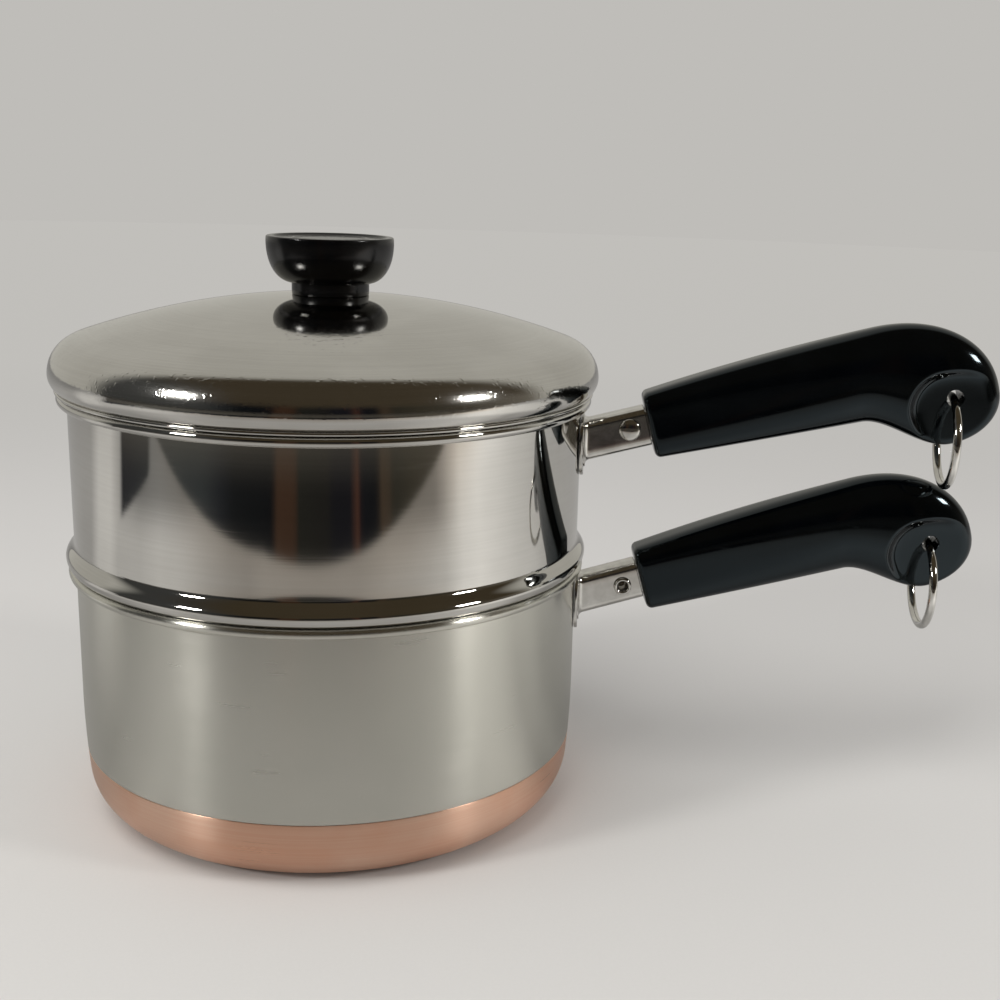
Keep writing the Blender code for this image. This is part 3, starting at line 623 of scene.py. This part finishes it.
def lidOutline(s):
    # a large arc for the crown, a small one for the shoulder, one tucked under, then the hem
    wide = insert["radius"] + s["overhang"]
    reach = wide - s["shoulderRadius"]
    fall = s["crownRadius"] - s["shoulderRadius"]
    slope = math.asin(reach / fall)
    widest = lidCrown - s["crownRadius"] + fall * math.cos(slope)
    steep = 90 - math.degrees(slope)
    crown = arc(0, lidCrown - s["crownRadius"], s["crownRadius"], 90, steep, 30)
    crown[0] = (0, lidCrown)
    shoulder = arc(reach, widest, s["shoulderRadius"], steep, 0, 22)[1:]
    tuck = arc(wide - s["tuckRadius"], widest, s["tuckRadius"], 0, -s["tuckAngle"], 12)[1:]
    plug = insertBore - s["plugPlay"]
    dome = path(crown, shoulder, tuck)
    neck = path(
        arc(plug + s["bend"], lidSeat - s["bend"], s["bend"], 90, 180, 7),
        (plug, lidSeat - s["plugDepth"]),
    )
    inside = shifted(path(dome, (tuck[-1][0], lidSeat), neck), -s["sheet"])
    inside[0] = (0, lidCrown - s["sheet"])
    end = tuck[-1] - (s["notch"], s["notchDrop"])
    bead = arc(end[0] + s["bead"] / 2, lidSeat + s["bead"], s["bead"], s["beadStart"], -90, 12)
    return path(dome, end, bead, neck, inside[::-1])


lidBody = turned("lid_body", lidOutline(lid))
finished(lidBody, "lidSteel", "lid", "lid_shell")

knobShape = {
    "neckRadius": 0.0130, "neckHeight": 0.0034, "radius": 0.02135, "height": 0.0188,
    "seam": 0.00006, "swell": 0.0004, "lip": 0.0006, "dishDepth": 0.0007,
    "ringRadius": 0.0125, "ringHeight": 0.0004, "footEdge": 0.0004, "lipFlat": 0.0001,
    "rimEnd": 3.5, "dishStart": 5,       # in lips from the edge
    "topRounds": [0.0006, 0.0005, 0.0008, 0.0006, 0.0008],
    "pocket": 0.0053, "pocketDepth": 0.0018, "bore": 0.0041, "boreDepth": 0.0124,
    "profileStep": 0.002, "turnSteps": 192,
}


def knobOutline(s):
    # neck, a quarter ellipse out to the lip, let out a little halfway, the dished top with its
    # raised ring, and the bore. The neck's foot follows the dome: height = -r^2 / (2 R)
    base = lidCrown + gap
    foot = lidCrown + s["seam"] - s["neckRadius"] ** 2 / (2 * lid["crownRadius"])
    top = base + s["height"]
    flare = s["radius"] - s["neckRadius"]
    tall = s["height"] - s["neckHeight"] - s["lip"]
    t = angles(0, 90, 26)
    reach = s["neckRadius"] + flare * np.sin(t) + s["swell"] * np.sin(2 * t)
    bowl = np.stack([reach, base + s["neckHeight"] + tall * (1 - np.cos(t))], 1)
    dish = top - s["dishDepth"]
    edge, lip = s["footEdge"], s["lip"]
    ring, ridge = s["ringRadius"], s["ringHeight"]
    dished = [
        (s["radius"] - lip - s["lipFlat"], top), (s["radius"] - s["rimEnd"] * lip, top),
        (s["radius"] - s["dishStart"] * lip, dish), (ring + 2 * ridge, dish),
        (ring, dish + ridge), (ring - 2 * ridge, dish), (0, dish)]
    return path(
        (0, base + s["boreDepth"]),
        (s["bore"], base + s["boreDepth"]),
        (s["bore"], base + s["pocketDepth"]),
        (s["pocket"], base + s["pocketDepth"]),
        (s["pocket"], base),
        arc(s["neckRadius"] - edge, foot + edge, edge, -90, 0, 4),
        bowl,
        arc(s["radius"] - lip, top - lip, lip, 0, 90, 9),
        rounded(dished, s["topRounds"]),
    )


knobBody = turned(
    "knob_body", knobOutline(knobShape), knobShape["turnSteps"], knobShape["profileStep"])
finished(knobBody, "knobPhenolic", "lid", "knob")
coated(nodes["lid_stud"], "platedSteel")
coated(nodes["knob_insert"], "plainBrass")
print("lid and knob made")


# The two handles, drawn with X along the handle from its rivet

handles = {
    "pan": {
        "wall": pan["radius"], "rivet": pan["height"] - 0.0099, "rise": 16.0, "turn": 0.0,
        "rivetDrop": 0.0009, "rivetSide": -1, "body": "saucepan"},
    "steamer": {
        "wall": insert["radius"], "rivet": insertTop - 0.0110, "rise": 14.9, "turn": -2.7,
        "rivetDrop": 0.0, "rivetSide": 1, "body": "steamer"},
}
standoff = 0.0169        # rivet from the wall
gripShape = {
    "start": 0.0067, "end": 0.1283, "crest": 0.0885, "crestHeight": 0.0148, "topSweep": 0.870,
    "bellyStart": 0.0122, "bellySlope": 0.0580, "hookStart": 0.0790, "hookBottom": 0.1085,
    "hookDepth": 0.0314, "tailHeight": -0.0160, "tailPower": 2.12, "endPower": 5,
    "frontHalf": 0.0085, "middleHalf": 0.0105, "tailHalf": 0.0098, "frontRound": 0.0020,
    "frontPower": 4.2, "palmPower": 2.5,
    "hollowAlong": 0.1080, "hollowHeight": -0.0174, "hollowRadius": 0.0126, "webHalf": 0.0054,
    "webTilt": 0.085, "hollowSlope": 1.5, "hollowSoft": 0.0012, "hollowEdge": 0.0014,
    "hollowOpen": 0.55,      # how far the hollow draws out backwards and downwards, 1 for a circle
    "socketHalf": 0.0044, "socketTall": 0.0057, "socketRaise": -0.0006, "socketEnd": 0.0453,
    "socketPower": 8.0, "mouthStep": 0.0004, "mouthFlare": 1.08,
    "edgeRows": 12, "frontRows": 70, "tailRows": 160, "columns": 192,
}
ringShape = {
    "along": 0.1118, "height": -0.0150, "hole": 0.0030, "flare": 0.0003, "drillReach": 0.016,
    "drillEdge": 0.0003, "drillSides": 40, "radius": 0.0158, "wire": 0.0015, "slew": -4.0,
    "turnSteps": 160, "wireSides": 28,
}


def handlePlace(h):
    # the handle's own axes in the world: tilted up, stood off from the wall, turned about Z
    tilt = Matrix.Rotation(-math.radians(h["rise"]), 4, "Y")
    stand = Matrix.Translation((h["wall"] + standoff, 0, h["rivet"]))
    return Matrix.Rotation(math.radians(h["turn"]), 4, "Z") @ stand @ tilt


def softLess(a, b, width):
    # the lesser of two values, rounded off where they are close
    h = np.clip(0.5 + 0.5 * (b - a) / width, 0, 1)
    return b + (a - b) * h - width * h * (1 - h)


def tailCurve(share, s):
    # a quarter of a superellipse: (1 - share^power)^(1/power)
    return (1 - share ** s["tailPower"]) ** (1 / s["tailPower"])


def progress(x, start, end):
    # how far x has come from start to end, kept between 0 and 1
    return np.clip((x - start) / (end - start), 0, 1)


def gripTop(x, s):
    # a shallow parabola up to the crest, then a full quarter round down to the tail
    share = progress(x, s["crest"], s["end"])
    rise = s["crestHeight"] - s["tailHeight"]
    front = s["crestHeight"] - (s["crest"] - x) ** 2 / (2 * s["topSweep"])
    return np.where(x < s["crest"], front, s["tailHeight"] + rise * tailCurve(share, s))


def gripBottom(x, s):
    # a straight belly, a smooth step down to the hook, then a quarter round up to the tail
    share = progress(x, s["hookBottom"], s["end"])
    drop = s["hookDepth"] + s["tailHeight"]
    back = s["tailHeight"] - drop * tailCurve(share, s)
    belly = -s["bellyStart"] - s["bellySlope"] * (x - s["start"])
    step = progress(x, s["hookStart"], s["hookBottom"])
    step = step**2 * (3 - 2 * step)
    return np.where(x > s["hookBottom"], back, belly + (-s["hookDepth"] - belly) * step)


def gripHalf(x, s):
    # a sine swell from the front to the palm, then round towards the tail
    front = progress(x, s["start"], s["hookStart"])
    half = s["frontHalf"] + (s["middleHalf"] - s["frontHalf"]) * np.sin(front * math.pi / 2)
    back = progress(x, s["hookStart"], s["end"])
    half = half - (s["middleHalf"] - s["tailHalf"]) * np.minimum(1, 2 * back)
    return half * np.sqrt(1 - back ** s["endPower"])


def oval(t, half, tall, power):
    # distance from the middle to a superellipse in direction t
    return (np.abs(np.cos(t) / half) ** power + np.abs(np.sin(t) / tall) ** power) ** (-1 / power)


def gripGrid(s):
    # rows run from the socket's end out of its mouth, over the front edge and back to the tail;
    # each row is a superellipse whose power falls from boxy in front to oval in the palm
    t = circle(s["columns"])[None, :]
    edge = angles(0, 90, s["edgeRows"])
    frontX = s["start"] + s["frontRound"] * (1 - np.cos(edge))
    frontIn = s["frontRound"] * (1 - np.sin(edge))
    bodyX = np.linspace(frontX[-1], s["hookStart"], s["frontRows"])[1:]
    tailX = s["hookStart"] + (s["end"] - s["hookStart"]) * np.sin(angles(0, 90, s["tailRows"]))[1:]
    x = np.concatenate([frontX, bodyX, tailX])
    inset = np.concatenate([frontIn, np.zeros(len(bodyX) + len(tailX))])
    top, bottom = gripTop(x, s) - inset, gripBottom(x, s) + inset
    half = np.maximum(gripHalf(x, s) - inset, 1e-9)
    tall = np.maximum((top - bottom) / 2, 1e-9)
    share = progress(x, s["start"], s["hookStart"])
    power = s["frontPower"] + (s["palmPower"] - s["frontPower"]) * share
    reach = oval(t, half[:, None], tall[:, None], power[:, None])
    y = reach * np.cos(t)
    z = ((top + bottom) / 2)[:, None] + reach * np.sin(t)
    x = np.repeat(x[:, None], s["columns"], axis=1)
    # the hollow has a wall above and in front, and runs out over the tail and the hook. Its wall
    # is a softened ramp: slope times half of (distance + the root of distance^2 + soft^2)
    back, up = x - s["hollowAlong"], z - s["hollowHeight"]
    back = np.where(back > 0, s["hollowOpen"], 1) * back
    up = np.where(up < 0, s["hollowOpen"], 1) * up
    away = np.hypot(back, up) - s["hollowRadius"] + s["hollowEdge"]
    ramp = (away + np.hypot(away, s["hollowSoft"])) * s["hollowSlope"] / 2
    web = s["webHalf"] + s["webTilt"] * (z - ringShape["height"])
    y = np.sign(y) * softLess(np.abs(y), web + ramp, s["hollowEdge"])
    body = np.stack([x, y, z], -1)
    mouth = oval(t, s["socketHalf"], s["socketTall"], s["socketPower"])
    rows = []
    for along, scale in (
            (s["socketEnd"], 0.0), (s["socketEnd"], 1.0), (s["start"] + s["mouthStep"], 1.0),
            (s["start"], s["mouthFlare"])):
        across, upright = scale * mouth * np.cos(t), s["socketRaise"] + scale * mouth * np.sin(t)
        rows.append(np.stack([np.full_like(mouth, along), across, upright], -1))
    tail = np.broadcast_to([s["end"], 0, s["tailHeight"]], (1, s["columns"], 3))
    return np.concatenate(rows + [body[:-1], tail])


def ringDrill(name, s, place):
    # a plain drill across the grip whose ends flare like a countersink at the web's faces
    web = gripShape["webHalf"]
    t = angles(0, 80, 6)
    reach = s["hole"] + s["flare"] * (1 - np.cos(t))
    flare = np.stack([reach, web - s["flare"] + s["flare"] * np.sin(t)], 1)
    half = path(flare, (reach[-1] + s["drillEdge"], s["drillReach"]), (0, s["drillReach"]))
    outline = path((half * (1, -1))[::-1], half)
    grid = spun(outline, s["drillSides"], "y") + (s["along"], 0, s["height"])
    return skin(name, placed(grid, place))


def hangingRing(name, s, h, place):
    # a torus that hangs from the hole, across the handle
    hook = place @ Vector((s["along"], 0, s["height"]))
    stand = Matrix.Translation(hook) @ Matrix.Rotation(math.radians(h["turn"] + s["slew"]), 4, "Z")
    turn, side = circle(s["turnSteps"])[:, None], circle(s["wireSides"])[None, :]
    reach = s["radius"] + s["wire"] * np.cos(side)
    width = np.broadcast_to(s["wire"] * np.sin(side), (s["turnSteps"], s["wireSides"]))
    grid = np.stack([width, reach * np.sin(turn), reach * np.cos(turn) - s["radius"]], -1)
    return skin(name, placed(grid, stand), True)


rivetShape = {
    "shank": 0.0023, "face": 0.0058, "head": 0.0038, "headHeight": 0.0014, "roll": 0.0032,
    "rollHeight": 0.0009, "bore": 0.0018, "boreDepth": 0.0080, "boreTip": 0.0006, "sides": 48,
    "drillSides": 40,
}


def rivetGrid(s, side, drop, place):
    # a domed head at one end, a rolled-over open end at the other, turned about Y
    t = angles(90, 0, 10)
    head = np.stack([s["head"] * np.cos(t), s["face"] + s["headHeight"] * np.sin(t)], 1)
    t = angles(0, 180, 13)
    middle, half = (s["roll"] + s["bore"]) / 2, (s["roll"] - s["bore"]) / 2
    roll = np.stack([middle + half * np.cos(t), -s["face"] - s["rollHeight"] * np.sin(t)], 1)
    outline = path(
        head, (s["shank"], s["face"]), (s["shank"], -s["face"]), roll,
        (s["bore"], -s["face"] + s["boreDepth"]), (0, -s["face"] + s["boreDepth"] + s["boreTip"]))
    return placed(spun(outline * (1, -side), s["sides"], "y") - (0, 0, drop), place)


bracketShape = {
    "width": 0.0110, "tall": 0.0136, "sheet": 0.0011, "bend": 0.0026, "raise": -0.0006, "end": 0.0064,
    "flare": 0.0020, "edge": 0.0002, "wingReach": 0.0130, "wingSheet": 0.0011, "wingAbove": 0.0024,
    "wingBelow": 0.0053, "wingDrop": 0.0043, "wingRound": 0.0025, "wingColumns": 61,
    "wingPowers": {"top": 4, "low": 2, "tip": 12, "sheet": 24},
    "seam": 0.0006, "tangBack": -0.0090, "tangEnd": 0.0450, "tangSheet": 0.0010, "slotEnd": 0.001,
}


def boxSection(half, tall, bend):
    # a rounded box round the middle, and the outward direction at each of its points
    corners = [
        arc(sideY * (half - bend), sideZ * (tall - bend), bend, start, start + 90, 8)
        for sideY, sideZ, start in ((1, 1, 0), (-1, 1, 90), (-1, -1, 180), (1, -1, 270))]
    share = np.linspace(0, 1, 6)[1:-1, None]
    parts = []
    for here, after in zip(corners, corners[1:] + corners[:1]):
        parts += [here, here[-1] + share * (after[0] - here[-1])]
    section = np.vstack(parts)
    core = np.clip(section, (bend - half, bend - tall), (half - bend, tall - bend))
    return section, (section - core) / bend


def sectionAt(along, section):
    # a section in Y and Z, set at one place along X or with a place for each point
    return np.column_stack([np.broadcast_to(along, len(section)), section])


def bracketGrid(s, h):
    # a folded tube: rows run out along its skin, over its end and back inside. At the wall the
    # skin flares in a fold of radius r: r (1 - cos a) off the wing, r (1 - sin a) outwards
    outer, normal = boxSection(s["width"] / 2, s["tall"] / 2, s["bend"])
    inner = outer - normal * s["sheet"]
    lean = math.radians(h["rise"])
    face = h["wall"] + gap + s["wingSheet"]
    sunk = s["wingSheet"] / 2

    def start(section):
        # where a line along the handle meets the face of the wing
        reach = np.sqrt(face**2 - section[:, 0] ** 2) - h["wall"] - standoff
        return (reach + (section[:, 1] + s["raise"]) * math.sin(lean)) / math.cos(lean)

    a = angles(0, 90, 10)
    away = np.concatenate([[-sunk], s["flare"] * (1 - np.cos(a))]) / math.cos(lean)
    swell = s["flare"] * (1 - np.sin(np.concatenate([[0], a])))
    rows = [sectionAt(start(outer) + d, outer + normal * w) for d, w in zip(away, swell)]
    rows += [
        sectionAt(s["end"] - s["edge"], outer), sectionAt(s["end"], outer - normal * s["edge"]),
        sectionAt(s["end"], inner), sectionAt(start(inner) - sunk, inner)]
    return np.stack(rows) + (0, 0, s["raise"])


def wingGrid(s, h):
    # a sheet that hugs the wall: upright loops, lower in the middle, drawn to a point at the tips
    share = np.sin(angles(-90, 90, s["wingColumns"]))[:, None]
    tip, powers = np.abs(share), s["wingPowers"]
    root = h["rivet"] + s["raise"] - math.tan(math.radians(h["rise"])) * (standoff - gap)
    top = root + s["tall"] / 2 + s["wingAbove"] - s["wingRound"] * tip ** powers["top"]
    low = root - s["tall"] / 2 - s["wingBelow"] + s["wingDrop"] * tip ** powers["low"]
    e = s["edge"] / s["wingSheet"]
    thick = np.array([0, 1 - e, 1, 1, 1 - e, 0]) - 0.5
    upright = np.array([-1, -1, -1, 1, 1, 1])
    eased = np.array([0, 0, s["edge"], -s["edge"], 0, 0])
    height = (top + low) / 2 + ((top - low) / 2 * upright + eased) * np.sqrt(1 - tip ** powers["tip"])
    reach = h["wall"] + gap + s["wingSheet"] * (0.5 + thick * np.sqrt(1 - tip ** powers["sheet"]))
    y = np.broadcast_to(s["wingReach"] * share, height.shape)
    return np.stack([np.sqrt(reach**2 - y**2), y, height], -1)


def tubeGrid(s):
    # the channel inside the bracket, on which the grip is moulded
    room = s["sheet"] + gap
    outer, normal = boxSection(s["width"] / 2 - room, s["tall"] / 2 - room, s["bend"] - s["sheet"])
    inner = outer - normal * s["tangSheet"]
    back, end = s["tangBack"], s["tangEnd"]
    rows = [sectionAt(*row) for row in ((back, outer), (end, outer), (end, inner), (back, inner))]
    return np.stack(rows) + (0, 0, s["raise"])


def block(name, low, high, place):
    # a plain block between two corners, for cutting
    shape = bmesh.new()
    low, high = Vector(low), Vector(high)
    stretch = Matrix.Diagonal((*(high - low), 1))
    bmesh.ops.create_cube(shape, size=1.0, matrix=place @ Matrix.Translation((low + high) / 2) @ stretch)
    return fromShape(name, shape)


def rivetDrill(name, h, place):
    # a plain drill across the handle, for the rivet's shank
    reach, width = rivetShape["shank"] + gap, bracketShape["width"]
    outline = np.array([(0, -width), (reach, -width), (reach, width), (0, width)])
    grid = spun(outline, rivetShape["drillSides"], "y") - (0, 0, h["rivetDrop"])
    return skin(name, placed(grid, place))


def makeBracket(prefix, s, h, place):
    # tube and wings become one sheet with an open seam underneath
    bottom = s["raise"] - s["tall"] / 2
    piece = skin(prefix + "_bracket_body", placed(bracketGrid(s, h), place), True)
    turn = Matrix.Rotation(math.radians(h["turn"]), 4, "Z")
    cutBy(piece, skin(prefix + "Wings", placed(wingGrid(s, h), turn)), "UNION")
    cutBy(piece, block(
        prefix + "Seam", (-standoff + 2 * s["wingSheet"] + s["flare"], -s["seam"] / 2, bottom - s["sheet"]),
        (s["end"] + s["sheet"], s["seam"] / 2, bottom + 2 * s["sheet"]), place))
    cutBy(piece, rivetDrill(prefix + "PlateDrill", h, place))
    finished(piece, "platedSteel", h["body"], prefix + "_bracket")
    tang = skin(prefix + "_tang_body", placed(tubeGrid(s), place), True)
    half = s["width"] / 2 - s["sheet"] - gap - s["tangSheet"]
    cutBy(tang, block(
        prefix + "Slot", (s["tangBack"] - s["slotEnd"], -half, bottom),
        (s["tangEnd"] + s["slotEnd"], half, s["raise"]), place))
    cutBy(tang, rivetDrill(prefix + "TangDrill", h, place))
    finished(tang, "platedSteel", h["body"], prefix + "_tang")


for prefix, h in handles.items():
    place = handlePlace(h)
    gripBody = skin(prefix + "_grip_body", placed(gripGrid(gripShape), place))
    cutBy(gripBody, ringDrill(prefix + "Drill", ringShape, place))
    finished(gripBody, "phenolic", h["body"], prefix + "_grip")
    loop = hangingRing(prefix + "_wire_ring", ringShape, h, place)
    finished(loop, "ringSteel", prefix + "_hanging_ring", prefix + "_ring")
    rivet = skin(prefix + "_rivet_body", rivetGrid(rivetShape, h["rivetSide"], h["rivetDrop"], place))
    finished(rivet, "platedSteel", h["body"], prefix + "_rivet")
    makeBracket(prefix, bracketShape, h, place)
print("handles, rings and rivets made")


# Floor, room, lamps and camera

studio = {
    "floorRings": [0, 0.2, 0.6, 1.5, 4.0], "floorSides": 96, "floorDrop": 0.00005,
    "floorColour": (0.63, 0.62, 0.605), "floorSpread": (0.965, 1.03), "weave": 900.0, "patches": 5.0,
    "weaveShare": 0.6, "floorRough": 0.9, "floorGloss": 0.05,
    "backdrop": tone(191, 189, 185), "fadeFrom": 0.34, "fadeTo": 1.1, "edgeSoft": 0.011,
    # the distances from the middle over which the table's reflected tone changes
    "nearToFar": (0.24, 0.36), "farToOut": (0.44, 0.60), "hazeFrom": (0.60, 0.85), "hazeShare": 0.4,
    # the front tone on the next line is painted shade, darker and warmer towards the front, seen only by
    # polished metal
    "frontFrom": (0.20, 0.45), "frontPaintedShade": (0.82, 0.76, 0.70), "leftFrom": (0.0, 0.03),
    "frontEdges": [(-0.447, -0.05), (-0.484, -0.27)],   # the y at x = 0 and the slope of each
    "leftEdge": ((-0.636, -0.243), (-0.515, -0.030)),
    "leftEnd": (-73.5, -70.5),                # azimuths between which the left edge turns away
    # painted light and shade that only polished metal sees on the table: a share of its tone by azimuth in
    # degrees, close to the pan and further out
    "sharesNear": [
        (-180, 0.60), (-93, 0.53), (-80, 0.52), (-70, 0.62), (-62, 0.68), (-54, 0.76), (-46, 0.68),
        (-39, 0.66), (-30, 0.63), (25, 0.66), (36, 0.72), (43, 0.80), (50, 0.87), (57, 0.98),
        (65, 1.02), (73, 0.92), (82, 0.64), (93, 0.68), (118, 0.60), (180, 0.60)],
    "sharesFar": [
        (-180, 0.64), (-112, 0.64), (-105, 1.0), (-96, 1.0), (-90, 0.77), (-76, 0.74), (-66, 0.86),
        (-57, 0.84), (-49, 0.76), (-41, 0.64), (-34, 0.54), (-27, 0.51), (-20, 0.58), (15, 0.60),
        (28, 0.78), (36, 0.81), (43, 0.87), (51, 1.0), (59, 1.40), (67, 1.50), (77, 1.34),
        (88, 1.15), (115, 0.86), (180, 0.62)],
    "shareTop": 1.5,
    # how much of that is left at the table's far side: painted shade, darker further out
    "sharesOut": [
        (-180, 1.0), (-96, 1.0), (-88, 0.75), (-78, 0.36), (-55, 0.36), (-40, 0.6), (0, 0.7), (36, 0.5),
        (47, 0.46), (53, 0.8), (58, 1.0), (180, 1.0)],
    "haze": tone(104, 99, 90),
    # what polished metal sees beyond the table's edge, as tones from 0 to 255; on the floor this is a
    # painted reflection of the dim room
    "roomBands": [
        (-180, (40, 40, 44)), (-90, (40, 40, 44)), (-58, (48, 52, 53)), (-46, (40, 44, 46)),
        (-38, (22, 25, 30)), (-33, (12, 15, 18)), (-17.5, (12, 14, 17)), (-15.5, (60, 42, 30)),
        (-9, (60, 42, 30)), (-7, (32, 32, 28)), (2, (30, 29, 27)), (4, (30, 29, 27)), (6, (22, 22, 27)),
        (13.5, (22, 22, 27)), (14.8, (72, 46, 36)), (16, (72, 46, 36)), (17, (16, 18, 24)),
        (23.5, (15, 17, 20)), (25, (66, 54, 42)), (28, (62, 52, 41)), (30, (44, 42, 35)),
        (38, (54, 50, 40)), (60, (66, 60, 50)), (90, (110, 104, 94)), (180, (110, 104, 94))],
    "glossyBack": (0.50, 0.485, 0.44), "upperRoom": (0.055, 0.042, 0.025),
    "leftRoom": (0.05, 0.05, 0.048), "evenLight": (0.555, 0.55, 0.545),
    # upwards, to the left and to the back: where one part of the room gives way to the next
    "upperFrom": (0.12, 0.45), "leftRoomFrom": (0.45, 0.85), "backFrom": (0.02, 0.30),
}


def turnStops(pairs):
    # (degrees, colour or share) pairs as places along the azimuth
    return [
        (place / 360 + 0.5, value if isinstance(value, tuple) else (value,) * 3)
        for place, value in pairs]


def roomTones(recipe, s, azimuth):
    # the dim room beyond the table, by azimuth
    stops = [(place, tone(*colour)) for place, colour in s["roomBands"]]
    return recipe.bands(azimuth, turnStops(stops))


def makeFloor(s):
    # a flat disc. Its colour is plain for the camera; for glossy rays it carries painted light and shade of
    # a lit table and, beyond its edges, a painted reflection of the dim room
    rings = np.array([(ring, -s["floorDrop"]) for ring in s["floorRings"]])
    floor = skin("floor", spun(rings, s["floorSides"]))
    recipe = Recipe("paleFloor")
    x, y, _ = recipe.parts(recipe.place())
    camera, glossy = recipe.rays("camera"), recipe.rays("glossy")
    soft = s["edgeSoft"]
    # beyond an edge is where the distance on its inner side falls below zero
    first, second = ((place + slope * x - y).ramp(-soft, soft) for place, slope in s["frontEdges"])
    beyondFront = first.maths("MAXIMUM", second)
    (firstX, firstY), (lastX, lastY) = s["leftEdge"]
    long = math.hypot(lastX - firstX, lastY - firstY)
    inner = (x - firstX) * ((lastY - firstY) / long) - (y - firstY) * ((lastX - firstX) / long)
    azimuth = recipe.azimuth(x, y)
    turnedAway = azimuth.ramp(*(end / 360 + 0.5 for end in s["leftEnd"]))
    beyondLeft = inner.ramp(soft, -soft) * (0.0 - y).ramp(*s["leftFrom"]) * (1.0 - turnedAway)
    beyond = beyondFront.maths("MAXIMUM", beyondLeft)
    weave = recipe.noise(recipe.place(), s["weave"], 2.0, 0.6)
    patches = recipe.noise(recipe.place(), s["patches"], 3.0)
    darker, lighter = (tuple(v * k for v in s["floorColour"]) for k in s["floorSpread"])
    share = s["weaveShare"]
    pale = recipe.colours(weave * share + patches * (1 - share), darker, lighter)
    # painted light and shade: the table's tone for glossy rays, as a share by azimuth, near and far, fading
    # further out
    top = s["shareTop"]
    near, far = (
        recipe.bands(azimuth, turnStops([(place, share / top) for place, share in s[key]]))
        for key in ("sharesNear", "sharesFar"))
    away = (x * x + y * y).maths("SQRT")
    out = recipe.bands(azimuth, turnStops(s["sharesOut"]))
    shares = recipe.product(1.0, recipe.colours(away.ramp(*s["nearToFar"]), near, far), (top, top, top))
    shares = recipe.product(away.ramp(*s["farToOut"]), shares, out)
    table = recipe.product(glossy, pale, shares)
    # painted shade: for glossy rays the table grows darker and warmer towards the front
    front = recipe.product((0.0 - y).ramp(*s["frontFrom"]) * glossy, table, s["frontPaintedShade"])
    # painted reflection: beyond the table's edges glossy rays see the dim room, hazier further out
    rooms = roomTones(recipe, s, azimuth)
    rooms = recipe.colours(away.ramp(*s["hazeFrom"]) * s["hazeShare"], rooms, s["haze"])
    seen = recipe.colours(beyond * glossy, front, rooms)
    # for the camera the floor's far part melts into the backdrop's tone
    fade = away.ramp(s["fadeFrom"], s["fadeTo"]) * camera
    recipe.set(
        Base_Color=recipe.colours(fade, seen, (0.0, 0.0, 0.0)),
        Emission_Color=recipe.colours(fade, (0.0, 0.0, 0.0), s["backdrop"]),
        Emission_Strength=1.0,
        Roughness=s["floorRough"],
        Specular_IOR_Level=s["floorGloss"],
    )
    floor.data.materials.append(recipe.holder)


def makeWorld(s):
    # seen by the camera: one pale tone. Seen in polished metal: pale behind the object and a
    # dim room in front of it, as in the photograph. Diffuse light: even and pale
    world = bpy.data.worlds.new("room")
    bpy.context.scene.world = world
    recipe = Recipe("room", world)
    x, y, z = recipe.parts(recipe.node("TexCoord", out=0))
    rooms = roomTones(recipe, s, recipe.azimuth(x, y))
    rooms = recipe.colours(z.ramp(*s["upperFrom"]), rooms, s["upperRoom"])
    rooms = recipe.colours((0.0 - x).ramp(*s["leftRoomFrom"]), rooms, s["leftRoom"])
    seen = recipe.colours(y.ramp(*s["backFrom"]), rooms, s["glossyBack"])
    camera, glossy = recipe.rays("camera"), recipe.rays("glossy")
    colour = recipe.colours(glossy, s["evenLight"], seen)
    colour = recipe.colours(camera, colour, s["backdrop"])
    back = recipe.tree.nodes["Background"]
    recipe.feed(back.inputs["Color"], colour)
    back.inputs["Strength"].default_value = 1.0


# azimuth, elevation, distance, size, watts and whether polished metal sees it. Azimuth 0 stands
# in front, on -Y, and grows towards +X
lamps = {
    "leftLamp": (-57.7, 25.9, 1.6, (0.26, 0.20), 8.0, True),
    "rightLamp": (66.0, 23.9, 1.6, (0.26, 0.20), 6.0, True),
    "topLamp": (-35, 62, 1.5, (0.9, 0.9), 9.0, False),
}
lampColour = (1, 0.985, 0.96)
lampAim = Vector((0, 0, 0.1))


def hang(name, azimuth, elevation, distance, size, watts, glossy):
    # an area lamp at a distance from the aim, facing it
    a, e = math.radians(azimuth), math.radians(elevation)
    away = Vector((math.sin(a) * math.cos(e), -math.cos(a) * math.cos(e), math.sin(e)))
    light = bpy.data.lights.new(name, "AREA")
    light.shape = "RECTANGLE"
    light.size, light.size_y = size
    light.energy = watts
    light.color = lampColour
    holder = linked(name, light)
    holder.location = lampAim + away * distance
    holder.rotation_mode = "QUATERNION"
    holder.rotation_quaternion = away.to_track_quat("Z", "Y")
    holder.visible_glossy = glossy


# where the camera stands, and its own right and up in the world
view = {
    "lens": 49.7257, "sensor": 36, "shift": (-0.06018, 0.0135),
    "stand": (0.04851309, -0.47760243, 0.2244),
    "right": (0.99773159, -0.05903293, 0.03235401), "up": (-0.01665906, 0.24914634, 0.96832256),
}


def makeCamera(s):
    camera = bpy.data.cameras.new("camera")
    camera.sensor_width = s["sensor"]
    camera.lens = s["lens"]
    camera.shift_x, camera.shift_y = s["shift"]
    eye = linked("camera", camera)
    right, up = Vector(s["right"]), Vector(s["up"])
    turn = Matrix((right, up, right.cross(up))).transposed().to_4x4()
    eye.matrix_world = Matrix.Translation(s["stand"]) @ turn
    bpy.context.scene.camera = eye


makeFloor(studio)
makeWorld(studio)
for name, settings in lamps.items():
    hang(name, *settings)
makeCamera(view)
bpy.context.scene.view_settings.view_transform = "Standard"
print("studio made")
